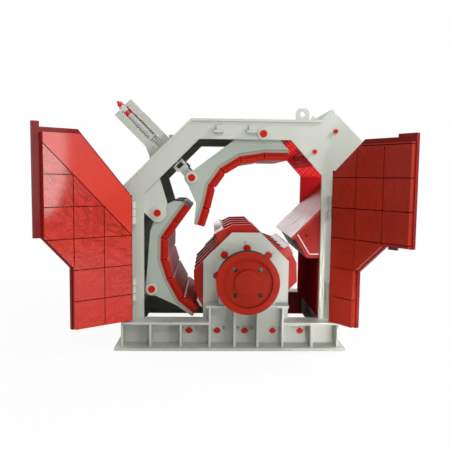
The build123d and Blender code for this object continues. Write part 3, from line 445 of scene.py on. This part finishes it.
def left_tile_paint():
    """Left door: wet-looking swirls on the cast tiles, darker in their low spots as painted shade,
    the plain slanting panel smooth and paler pink towards its top as a painted highlight.
    """
    paint = Paint("left_door_tile_red", Coat_Roughness=0.08, Specular_IOR_Level=0.15)
    x, y, z = paint.along("XYZ")
    swing = math.radians(LEFT_SWING)
    width = (x - LEFT_HINGE_X) * math.cos(swing) + (y - HINGE_Y) * math.sin(swing)
    plain = paint.spread(z - width, LEFT_PLAIN_LINE - 2 * SKIN, LEFT_PLAIN_LINE + 2 * SKIN)
    swirls = paint.noise(6, 4, 0.5, swirl=1.8)
    thick = paint.spread(z - width * 0.7, *DOOR_WET) * 0.8 + 0.2
    grains = paint.noise(60, 3, 0.6)
    stains = paint.spread(paint.noise(2.3, 5, 0.65), 0.40, 0.75)
    # Painted shade: darker in the low parts of the swirl bump on the tiles
    hollow_shade = (1 - swirls) * (1 - plain) * 0.45
    # Painted highlight: the plain panel pales towards its top
    painted_sheen = paint.spread(z, *DOOR_SHEEN_HEIGHTS) * plain * 0.35
    shade = paint.mix(stains * 0.35 + hollow_shade, LEFT_DOOR_RED, LEFT_DOOR_DEEP)
    paint.show("Base Color", paint.mix(painted_sheen, shade, DOOR_SHEEN_PINK))
    paint.show("Coat Weight", 0.65 - plain * 0.25)
    paint.show("Roughness", grains * 0.20 + 0.32)
    paint.bump(swirls * thick * (1 - plain * 0.97) + grains * 0.02, 0.95, 0.120)
    return paint.material


def smooth_red(name, light, deep):
    """Plain glossy red paint with faint clouding."""
    paint = Paint(name, Coat_Weight=0.06, Coat_Roughness=0.10, Specular_IOR_Level=0.10)
    cloud = paint.spread(paint.noise(2.6, 4), 0.35, 0.75)
    paint.show("Base Color", paint.mix(cloud * 0.5, light, deep))
    paint.show("Roughness", paint.noise(12, 3) * 0.18 + 0.30)
    paint.bump(paint.noise(30, 3), 0.08, 0.002)
    return paint.material


def curtain_paint():
    """Chains: glossy bright red, a little uneven."""
    gloss = {"Coat_Weight": 0.08, "Coat_Roughness": 0.15, "Specular_IOR_Level": 0.10}
    paint = Paint("curtain_chain_red", **gloss)
    paint.show("Base Color", paint.mix(paint.noise(9, 3), CURTAIN_RED, LINING_DEEP))
    paint.show("Roughness", paint.noise(40, 3) * 0.2 + 0.25)
    return paint.material


def bar_paint():
    """Blow bars: red ends, struck bare and pale along the tips."""
    paint = Paint("blow_bar_paint", Specular_IOR_Level=0.3)
    radius = paint.ring(SHAFT)
    [y] = paint.along("Y")
    inner = paint.spread(y.size(), *BAR_INNER)
    bare = paint.spread(radius + paint.noise(24, 4, 0.65) * 0.05, *BAR_BARE)
    tip = paint.spread(radius + paint.noise(30, 4) * 0.02, *BAR_TIP)
    cloud = paint.spread(paint.noise(8, 4), 0.4, 0.7)
    red = paint.mix(cloud * 0.5, LINER_RED, LINER_DEEP)
    paint.show("Base Color", paint.mix(bare * inner | tip, red, WORN_WHITE))
    paint.show("Roughness", 0.42 - bare * 0.08)
    paint.bump(paint.noise(40, 3), 0.20, 0.003)
    return paint.material


def feed_plate_paint():
    """Feed plate: worn bright on top, with red paint left in streaks up the slope."""
    paint = Paint("feed_plate_paint", Specular_IOR_Level=0.3)
    x, z = paint.along("XZ")
    top = (z - x) > FEED_TOP_LEVEL - 3 * SKIN
    streaks = paint.spread(paint.noise(13, 5, 0.7, (0.35, 1.6, 0.35)), 0.48, 0.60)
    high = paint.spread(x + z, *FEED_REACH)
    left = (streaks * paint.spread(high, 0.0, 0.5) | paint.spread(high, 0.55, 1.0)) & top
    red = paint.mix(paint.noise(5, 4), LINER_RED, LINER_DEEP)
    paint.show("Base Color", paint.mix(left | (1 - top), WORN_WHITE, red))
    paint.show("Roughness", paint.noise(15, 3) * 0.15 + 0.35)
    paint.bump(paint.noise(30, 3), 0.10, 0.002)
    return paint.material


def feed_box_paint():
    """Feed plate box: red cheeks, pale lines painted along nose and floor as highlights on lit
    edges, a dark nose plate.
    """
    paint = Paint("feed_box_paint", Specular_IOR_Level=0.08)
    x, y, z = paint.along("XYZ")
    across = (x - NOSE_POINT[0]) * NOSE_ACROSS[0] + (z - NOSE_POINT[1]) * NOSE_ACROSS[1]
    cheek = y.size() > SIDE_IN - SKIN
    wobble = paint.noise(40, 3) * 0.006
    corner_across, corner_up = NOSE_LINE[0] + 2 * SKIN, BOX_FLOOR_LINE[0] + 4 * SKIN
    # Painted highlights: pale lines along the lit edges at the nose and the floor of the cheeks
    nose_line = (across + wobble).between(*NOSE_LINE) & (z > corner_up)
    floor_line = (z + wobble).between(*BOX_FLOOR_LINE) & (across > corner_across)
    cloud = paint.spread(paint.noise(4, 4), 0.35, 0.7)
    red = paint.mix(cloud * 0.4 + 0.5, LINER_RED, LINER_DEEP)
    lit_edge_lines = paint.mix((nose_line | floor_line) & cheek, red, WORN_WHITE)
    dark = paint.mix(paint.noise(14, 4), NOSE_DARK, MAROON_DEEP)
    paint.show("Base Color", paint.mix((across < NOSE_FACE) & (1 - cheek), lit_edge_lines, dark))
    paint.show("Roughness", paint.noise(12, 3) * 0.2 + 0.32)
    paint.bump(paint.noise(30, 3), 0.12, 0.003)
    return paint.material


def pulley_paint():
    """Pulley: orange-red face and web, blue-black grooves."""
    gloss = {"Coat_Weight": 0.06, "Coat_Roughness": 0.12, "Specular_IOR_Level": 0.10}
    paint = Paint("pulley_paint", **gloss)
    [y] = paint.along("Y")
    grooves = (y > PULLEY_FRONT + 6 * SKIN) & (paint.ring(SHAFT) > GROOVE_RADIUS)
    cloud = paint.spread(paint.noise(5, 4), 0.35, 0.7)
    red = paint.mix(cloud * 0.6, PULLEY_RED, PULLEY_DEEP)
    paint.show("Base Color", paint.mix(grooves, red, RIM_BLACK))
    paint.show("Roughness", grooves * 0.15 + paint.noise(20, 3) * 0.15 + 0.30)
    paint.bump(paint.noise(40, 2), 0.06, 0.002)
    return paint.material


def pin_paint(name, first, second):
    """Pins: grey collars with red caps."""
    paint, grey = frame_paint(name, coat=0.0, shine=0.08)
    caps = (paint.ring(first) < PIN_CAP_EDGE) | (paint.ring(second) < PIN_CAP_EDGE)
    return finish_frame(paint, paint.mix(caps, grey, CAP_RED))


def barrel_paint():
    """Adjuster barrels: red tip, pale band, red band, then grey."""
    gloss = {"Coat_Weight": 0.2, "Coat_Roughness": 0.15, "Specular_IOR_Level": 0.3}
    paint = Paint("barrel_paint", **gloss)
    x, z = paint.along("XZ")
    upper = ((z - UPPER_PIN[1]) - (x - UPPER_PIN[0])) * math.sqrt(0.5)
    lower = LOWER_PIN[0] - x
    high = z > BETWEEN_ADJUSTERS
    out = high * (upper - UPPER_BARREL_END) + (1 - high) * (lower - LOWER_BARREL_END)
    red = (out > 0.0) | out.between(*BARREL_RED_BAND)
    pale = out.between(BARREL_RED_BAND[1], 0.0)
    grey = paint.mix(paint.noise(12, 4) * 0.4, BARREL_GREY, FRAME_SHADE)
    paint.show("Base Color", paint.mix(red, paint.mix(pale, grey, BAND_PALE), BARREL_RED))
    paint.show("Roughness", paint.noise(18, 3) * 0.15 + 0.26)
    return paint.material


def steel_paint(name, light, dark, metal):
    """Bare or blackened steel, cloudy."""
    paint = Paint(name, Metallic=metal)
    cloud = paint.spread(paint.noise(22, 4), 0.3, 0.7)
    paint.show("Base Color", paint.mix(cloud, light, dark))
    paint.show("Roughness", paint.noise(30, 3) * 0.25 + 0.28)
    return paint.material


enamel = finish_frame(*frame_paint("pale_grey_enamel"))
bare_steel = steel_paint("bare_steel", STEEL, DARK_STEEL, metal=0.7)
pad_black = steel_paint("black_pad", PAD_BLACK, RIM_BLACK, metal=0.0)
door_edge_red = smooth_red("door_edge_red", DOOR_EDGE_RED, MAROON_DEEP)
liner_red = cast_red(
    "apron_liner_red", LINER_RED, LINER_DEEP, scale=16, depth=0.005, coat=0.05, shine=0.05
)
seam_dark = smooth_red("liner_seam_dark", MAROON_DEEP, NOSE_DARK)
rotor_red = smooth_red("rotor_red", ROTOR_RED, LINER_DEEP)
cap_red = smooth_red("bolt_cap_red", CAP_RED, LINER_RED)
adjust_pins = pin_paint("adjust_pin_enamel", UPPER_PIN, LOWER_PIN)
left_shell = left_wall_paint()

# Nodes that aren't listed get the plain enamel
NODE_PAINTS = {
    "near_side_plate": side_plate_paint("near_plate_enamel"),
    "far_side_plate": side_plate_paint("far_plate_enamel"),
    "far_base_beam": far_base_paint(),
    "left_wall": left_shell,
    "left_shoulder_cover": left_shell,
    "right_wall": right_wall_paint(),
    "right_wall_liners": cast_red(
        "wall_tile_maroon", MAROON, MAROON_DEEP, scale=14, depth=0.004, coat=0.0, shine=0.0
    ),
    "feed_plate": feed_plate_paint(),
    "feed_plate_box": feed_box_paint(),
    "feed_floor": rotor_red,
    "belt_pulley": pulley_paint(),
    "blow_bars": bar_paint(),
    "rotor_discs": rotor_red,
    "rotor_core": rotor_red,
    "rotor_shaft": bare_steel,
    "apron_pivot_pins": pin_paint("pivot_pin_enamel", UPPER_PIVOT, LOWER_PIVOT),
    "upper_adjust_pins": adjust_pins,
    "lower_adjust_pins": adjust_pins,
    "adjuster_barrels": barrel_paint(),
    "liner_bolt_caps": cap_red,
    "upper_apron_frame": apron_paint("upper_apron_enamel", UPPER_LINER_END),
    "lower_apron_frame": apron_paint("lower_apron_enamel", LOWER_LINER_END),
    "upper_apron_liners": liner_red,
    "lower_apron_liners": liner_red,
    "left_door_liners": left_tile_paint(),
    # Right door tiles: a darker red than the left door's, partly their own paint and partly
    # painted shade
    "right_door_liners": cast_red(
        "right_door_tile_red", RIGHT_DOOR_SHADED_RED, RIGHT_DOOR_DEEP, scale=11, depth=0.020, coat=0.12
    ),
    "left_door_panel": door_edge_red,
    "right_door_panel": door_edge_red,
    "curtain_rods": cap_red,
    "chain_curtains": cap_red,
}

for name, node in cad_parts.items():
    node.data.materials.clear()
    node.data.materials.append(NODE_PAINTS.get(name, enamel))


class Fitting:
    """Small pieces of one kind, gathered in one mesh."""

    def __init__(self, name):
        self.name = name
        self.mesh = bmesh.new()

    def bar(self, start, end, radius, sides=16):
        """A straight bar between two points, round or with flats."""
        start, end = Vector(start), Vector(end)
        way = end - start
        turn = way.to_track_quat("Z", "Y").to_matrix().to_4x4()
        bmesh.ops.create_cone(
            self.mesh,
            cap_ends=True,
            segments=sides,
            radius1=radius,
            radius2=radius,
            depth=way.length,
            matrix=Matrix.Translation((start + end) / 2) @ turn,
        )

    def block(self, centre, size, turn=Matrix.Identity(4)):
        """A square-edged block."""
        place = Matrix.Translation(centre) @ turn @ Matrix.Diagonal((*size, 1))
        bmesh.ops.create_cube(self.mesh, size=1, matrix=place)

    def plate(self, outline, thickness):
        """A flat plate from a run of points, thickened along the given vector."""
        low = [self.mesh.verts.new(Vector(point)) for point in outline]
        high = [self.mesh.verts.new(Vector(point) + Vector(thickness)) for point in outline]
        self.mesh.faces.new(low)
        self.mesh.faces.new(high)
        for i in range(len(low)):
            self.mesh.faces.new((low[i - 1], low[i], high[i], high[i - 1]))

    def bolt(self, foot, way, head):
        """A hexagon head on a round washer."""
        foot, way = Vector(foot), Vector(way).normalized()
        face = foot + way * head * 0.2
        self.bar(foot, face, head * 0.8)
        self.bar(face, foot + way * head * 0.8, head * 0.58, 6)

    def link(self, centre, length, width, wire, turn):
        """One chain link: a wire ring drawn out lengthwise."""
        steps, sides = 12, 5
        across = Vector((0, 1, 0))
        half = width / 2
        path = []
        for i in range(steps):
            angle = 2 * math.pi * (i + 0.5) / steps
            shift = math.copysign((length - width) / 2, math.sin(angle))
            path.append(Vector((half * math.cos(angle), 0, half * math.sin(angle) + shift)))
        loops = []
        for i in range(steps):
            way = (path[(i + 1) % steps] - path[i - 1]).normalized()
            side = way.cross(across)
            loop = []
            for j in range(sides):
                angle = 2 * math.pi * j / sides
                spot = path[i] + (side * math.cos(angle) + across * math.sin(angle)) * wire
                loop.append(self.mesh.verts.new(Vector(centre) + turn @ spot))
            loops.append(loop)
        for i in range(steps):
            first, second = loops[i - 1], loops[i]
            for j in range(sides):
                self.mesh.faces.new((first[j - 1], first[j], second[j], second[j - 1]))

    def done(self, material, body, smooth=False):
        """Turn the mesh into a piece of the scene that rides on a body."""
        data = bpy.data.meshes.new(self.name)
        bmesh.ops.recalc_face_normals(self.mesh, faces=self.mesh.faces[:])
        self.mesh.to_mesh(data)
        self.mesh.free()
        data.materials.append(material)
        made = bpy.data.objects.new(self.name, data)
        bpy.context.scene.collection.objects.link(made)
        for face in data.polygons:
            face.use_smooth = smooth
        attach(made, body)
        return made


class Door:
    """A door that hangs open, with places on it given as if it were shut."""

    def __init__(self, body, hinge_x, way, swing):
        self.body = body
        self.hinge_x = hinge_x
        self.way = way
        self.turn = Matrix.Rotation(math.radians(swing), 4, "Z")

    def place(self, width, depth, z):
        spot = Vector((self.way * width, -depth - HINGE_Y, 0))
        spot.rotate(self.turn.to_3x3())
        return Vector((spot.x + self.hinge_x, spot.y + HINGE_Y, z))


left_door = Door("left_door", LEFT_HINGE_X, 1, LEFT_SWING)
right_door = Door("right_door", RIGHT_HINGE_X, -1, RIGHT_SWING)


def curtain_chains():
    """Rows of linked chain in place of the plain bars."""
    pitch, length, width, wire, drop = 0.044, 0.058, 0.034, 0.0062, 0.026
    chains = Fitting("feed_curtain_chains")
    for x, z in CURTAIN_RODS:
        for i in range(CHAIN_COUNT):
            y = CHAIN_SPAN * (i / (CHAIN_COUNT - 1) - 0.5)
            for k in range(int(CHAIN_LENGTH / pitch)):
                turn = Matrix.Rotation(math.radians(90 * (k % 2)), 3, "Z")
                chains.link((x, y, z - drop - pitch * k), length, width, wire, turn)
    made = chains.done(curtain_paint(), "frame", True)
    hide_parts("chain_curtains")


def keeper_plates():
    """Pale keepers beside and behind the red liner-bolt caps, and a ring round each cap."""
    out = Vector((0, -1, 0))
    keepers = Fitting("liner_cap_keepers")
    # Discs with a nut, each beside its cap on the bearing plate
    reach, disc_edge, disc_depth, nut_edge, nut_depth = 0.062, 0.026, 0.014, 0.015, 0.024
    leans = ((0, 1), (0, 1), (1, 0.1), (-0.5, 0.87), (1, 0))
    for (x, z), (across, up) in zip(PLATE_CAPS, leans):
        foot = Vector((x + reach * across, -SIDE_OUT, z + reach * up))
        keepers.bar(foot, foot + out * disc_depth, disc_edge, 20)
        keepers.bar(foot + out * disc_depth, foot + out * nut_depth, nut_edge, 6)
    # Round-ended strips behind the caps on the base
    length, depth, height, lift = 0.150, 0.010, 0.030, 0.022
    for x, z in BASE_CAPS:
        keepers.block((x, -SIDE_OUT - depth / 2, z + lift), (length, depth, height))
        for side in (-1, 1):
            foot = Vector((x + side * length / 2, -SIDE_OUT, z + lift))
            keepers.bar(foot, foot + out * depth, height / 2)
    # One ribbed stop at the bearing plate's left edge
    x, z, rib_along, rib_out = -0.207, 0.841, 0.016, 0.018
    stop_size, rib_size = (0.052, 0.016, 0.066), (0.016, 0.020, 0.066)
    keepers.block((x, -SIDE_OUT - stop_size[1] / 2, z), stop_size)
    keepers.block((x + rib_along, -SIDE_OUT - rib_out, z), rib_size)
    keepers.done(enamel, "frame")
    rings = Fitting("liner_cap_rings")
    ring_edge, ring_depth = 0.042, 0.004
    for x, z in BASE_CAPS + PLATE_CAPS:
        rings.bar((x, -SIDE_OUT, z), (x, -SIDE_OUT - ring_depth, z), ring_edge, 28)
    rings.done(bare_steel, "frame")


def liner_seams():
    """Dark seams between each apron liner's foot and its striking block."""
    inset, radius = 0.010, 0.0045
    for name, line, end in (
        ("upper_apron", UPPER_FACE_LINE, UPPER_LINER_END),
        ("lower_apron", LOWER_FACE_LINE, LOWER_LINER_END),
    ):
        seams = Fitting(name + "_liner_seams")
        for start, stop in zip(line, line[1:]):
            way = Vector((stop[0] - start[0], 0, stop[1] - start[1])).normalized()
            out = way.cross(Vector((0, 1, 0))) * -LINER_SEAM_DEPTH
            for side in (-1, 1):
                first = Vector((start[0], side * end, start[1])) + out + way * inset
                last = Vector((stop[0], side * end, stop[1])) + out - way * inset
                seams.bar(first, last, radius, 6)
        seams.done(seam_dark, name)


def adjuster_fixings():
    """Bolts through the feet of the four adjusters, and a gusset under each pair of rails."""
    bolt_along, bolt_across, bolt_head = 0.143, 0.082, 0.022
    gusset_edge, gusset_height, gusset_across, gusset_depth = 0.164, 0.110, 0.040, 0.012
    bolts = Fitting("adjuster_foot_fixings")
    gussets = Fitting("adjuster_foot_gussets")
    for pin, way, distance in (
        (UPPER_PIN, Vector((-1, 0, 1)).normalized(), UPPER_FOOT),
        (LOWER_PIN, Vector((-1, 0, 0)), LOWER_FOOT),
    ):
        along = Vector((0, 1, 0)).cross(way)
        for side in (-1, 1):
            foot = Vector((pin[0], side * ADJUSTER_Y, pin[1])) + way * distance
            for shift in (-bolt_along, bolt_along):
                for over in (-bolt_across, bolt_across):
                    bolts.bolt(foot + along * shift + Vector((0, over, 0)), way, bolt_head)
            across = Vector((0, side * gusset_across, 0))
            corner = foot - along * RAIL_EDGE + across
            outer = foot - along * gusset_edge + across
            outline = (corner, outer, corner + way * gusset_height)
            gussets.plate(outline, (0, side * gusset_depth, 0))
    bolts.done(bare_steel, "frame")
    gussets.done(enamel, "frame")


def frame_welds():
    """Weld beads along the base ribs, the pedestals and the bearing plates."""
    welds = Fitting("frame_weld_beads")
    radius, sides = 0.005, 6
    for side in (-1, 1):
        face, front = side * SIDE_OUT, side * BASE_RIB_FRONT
        for x in BASE_RIBS + PEDESTAL_RIBS:
            top = PEDESTAL_UNDER if x in PEDESTAL_RIBS else BASE_TOP - BASE_TOP_FLANGE
            for edge in (x - RIB_HALF, x + RIB_HALF):
                foot = (edge, face, BASE_FOOT_TOP)
                welds.bar(foot, (edge, face, top), radius, sides)
                welds.bar(foot, (edge, front, BASE_FOOT_TOP), radius, sides)
        for left, right in (
            (BEARING_PLATE_X[0], PEDESTAL_RIBS[0]),
            (PEDESTAL_RIBS[-1], BEARING_PLATE_X[1]),
        ):
            welds.bar((left, face, BASE_TOP), (right, face, BASE_TOP), radius, sides)
    welds.done(enamel, "frame")


def bearing_cover_bolts():
    """Rings of bolts on the outer bearing covers."""
    count, radius, head = 6, 0.098, 0.014
    bolts = Fitting("bearing_cover_bolts")
    for side in (-1, 1):
        for i in range(count):
            angle = 2 * math.pi * (i + 0.5) / count
            x, z = SHAFT[0] + radius * math.cos(angle), SHAFT[1] + radius * math.sin(angle)
            bolts.bolt((x, side * HOUSING_COVER_FACE, z), (0, side, 0), head)
    bolts.done(bare_steel, "frame")


def wall_nuts():
    """Nuts of the right wall's liners, on the outside."""
    head = 0.020
    nuts = Fitting("right_wall_liner_nuts")
    for y in (-0.54, -0.33, -0.11, 0.11, 0.33, 0.54):
        for z in (0.450, 0.765):
            nuts.bolt((RIGHT_WALL_OUT, y, z), (1, 0, 0), head)
    nuts.done(bare_steel, "frame")


def hinge_pads():
    """Thin pads welded to the frame legs behind the hinge brackets."""
    inset, width, depth, height = 0.022, 0.098, 0.003, 0.150
    pads = Fitting("hinge_pads")
    for x, heights in (
        (LEFT_HINGE_X + inset, LEFT_HINGES),
        (RIGHT_HINGE_X - inset, RIGHT_HINGES),
    ):
        for z in heights:
            pads.block((x, -SIDE_OUT - depth / 2, z), (width, depth, height))
    pads.done(enamel, "frame")


def door_edge_strips():
    """Strips over the hinge-side ends of the tiles, and a stop pad under the right door's step."""
    offset, middle, thickness, depth = 0.0055, 0.731, 0.009, 0.054
    for door, edge, top in (
        (left_door, LEFT_EDGE, LEFT_EDGE_TOP),
        (right_door, RIGHT_EDGE, RIGHT_EDGE_TOP),
    ):
        strip = Fitting(door.body + "_edge_strip")
        centre = door.place(edge + offset, middle, (DOOR_EDGE_BOTTOM + top) / 2)
        strip.block(centre, (thickness, depth, top - DOOR_EDGE_BOTTOM), door.turn)
        strip.done(door_edge_red, door.body)
    pad_width, pad_depth, pad_drop, pad_size = 0.745, 0.779, 0.012, (0.090, 0.030, 0.028)
    pad = Fitting("right_door_stop_pad")
    centre = right_door.place(pad_width, pad_depth, RIGHT_STEP - pad_drop)
    pad.block(centre, pad_size, right_door.turn)
    pad.done(pad_black, "right_door")


def door_nuts():
    """Nuts of the door tiles, on the outer faces."""
    head, beyond = 0.018, DOOR_BACK + 0.1
    for door, columns in ((left_door, LEFT_NUTS), (right_door, RIGHT_NUTS)):
        nuts = Fitting(door.body + "_tile_nuts")
        for widths, heights in columns:
            for width in widths:
                for z in heights:
                    foot = door.place(width, DOOR_BACK, z)
                    nuts.bolt(foot, door.place(width, beyond, z) - foot, head)
        nuts.done(bare_steel, door.body)


def eye_gussets():
    """Small gussets beside the lifting eyes."""
    inset, gap, length, peak, height, depth = 0.045, 0.012, 0.075, 0.034, 0.050, 0.014
    gussets = Fitting("lifting_eye_gussets")
    low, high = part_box("lifting_eyes")
    x, z = high[0] + gap, low[2]
    for side in (-1, 1):
        y = side * (SIDE_OUT - inset)
        outline = ((x, y, z), (x + length, y, z), (x + peak, y, z + height))
        gussets.plate(outline, (0, side * depth, 0))
    gussets.done(enamel, "frame")


curtain_chains()
keeper_plates()
liner_seams()
adjuster_fixings()
frame_welds()
bearing_cover_bolts()
wall_nuts()
hinge_pads()
door_edge_strips()
door_nuts()
eye_gussets()


def studio_floor():
    """A pale floor that the camera sees nearly white, with the crusher's shadow on it."""
    near, far, glow_near, glow_more, half_size = 2.0, 7.0, 0.93, 0.07, 40
    paint = Paint("studio_floor", Base_Color=FLOOR_PALE, Roughness=0.9)
    glow = paint.node("ShaderNodeEmission", {}, {"Strength": 1})
    plain = Value(paint, paint.shader.outputs[0])
    x, y = paint.along("XY")
    away = paint.spread((x * x + y * y) ** 0.5, near, far)
    seen = paint.ray("Is Camera Ray") * (away * glow_more + glow_near)
    blend = paint.node("ShaderNodeMixShader", {}, {0: seen, 1: plain, 2: glow})
    paint.join(paint.tree.nodes["Material Output"].inputs[0], blend)
    grid = bmesh.new()
    bmesh.ops.create_grid(grid, x_segments=1, y_segments=1, size=half_size)
    data = bpy.data.meshes.new("studio_floor_plane")
    grid.to_mesh(data)
    grid.free()
    data.materials.append(paint.material)
    plane = bpy.data.objects.new("studio_floor_plane", data)
    bpy.context.scene.collection.objects.link(plane)


def studio_sky():
    """White to the camera and in reflections, dimmer as a light."""
    as_light = 0.50
    world = bpy.data.worlds.new("studio_world")
    bpy.context.scene.world = world
    world.use_nodes = True
    sky = Tree(world.node_tree)
    seen = sky.ray("Is Camera Ray") | sky.ray("Is Transmission Ray") | sky.ray("Is Glossy Ray")
    back = world.node_tree.nodes["Background"]
    sky.join(back.inputs["Color"], (1, 1, 1))
    sky.join(back.inputs["Strength"], seen * (1 - as_light) + as_light)


def lamp(name, place, aim, size, power, spread=180):
    """A soft oval lamp, aimed at a point; the spread is in degrees."""
    light = bpy.data.lights.new(name, "AREA")
    light.shape = "ELLIPSE"
    light.size, light.size_y = size
    light.spread = math.radians(spread)
    light.energy = power
    made = bpy.data.objects.new(name, light)
    bpy.context.scene.collection.objects.link(made)
    made.location = place
    made.rotation_euler = (Vector(aim) - Vector(place)).to_track_quat("-Z", "Y").to_euler()


def photo_camera():
    """The camera at the photograph's place."""
    place, lens_length, film_width = (-0.217, -6.190, 1.7545), 42.7, 36
    yaw, down, roll = -1.61, 5.03, 0.65
    lens = bpy.data.cameras.new("photo_camera")
    lens.sensor_width = film_width
    lens.lens = lens_length
    camera = bpy.data.objects.new("photo_camera", lens)
    bpy.context.scene.collection.objects.link(camera)
    turn = Matrix.Identity(4)
    for angle, axis in ((yaw, "Z"), (90 - down, "X"), (roll, "Z")):
        turn = turn @ Matrix.Rotation(math.radians(angle), 4, axis)
    camera.matrix_world = Matrix.Translation(place) @ turn
    bpy.context.scene.camera = camera


studio_floor()
studio_sky()
lamp("key_lamp", place=(4.8, -5.9, 2.2), aim=(0.0, -0.6, 1.2), size=(1.0, 2.8), power=68)
lamp("front_lamp", place=(0.6, -6.6, 5.2), aim=(0.1, -0.4, 1.1), size=(1.8, 1.8), power=115)
lamp("low_lamp", place=(3.0, -5.6, 0.35), aim=(0.9, -0.7, 0.15), size=(0.8, 0.5), power=50)
lamp(
    "leg_lamp",
    place=(1.8, -7.2, 0.8),
    aim=(1.02, -0.7, 0.50),
    size=(0.3, 0.3),
    power=2.4,
    spread=15,
)
lamp("mouth_lamp", place=(4.0, -1.6, 4.6), aim=(0.9, 0.3, 2.0), size=(0.8, 0.8), power=180)
lamp("back_lamp", place=(-1.5, 6.5, 3.5), aim=(0.0, 0.0, 1.2), size=(3.0, 3.0), power=80)
photo_camera()
bpy.context.scene.view_settings.view_transform = "Standard"
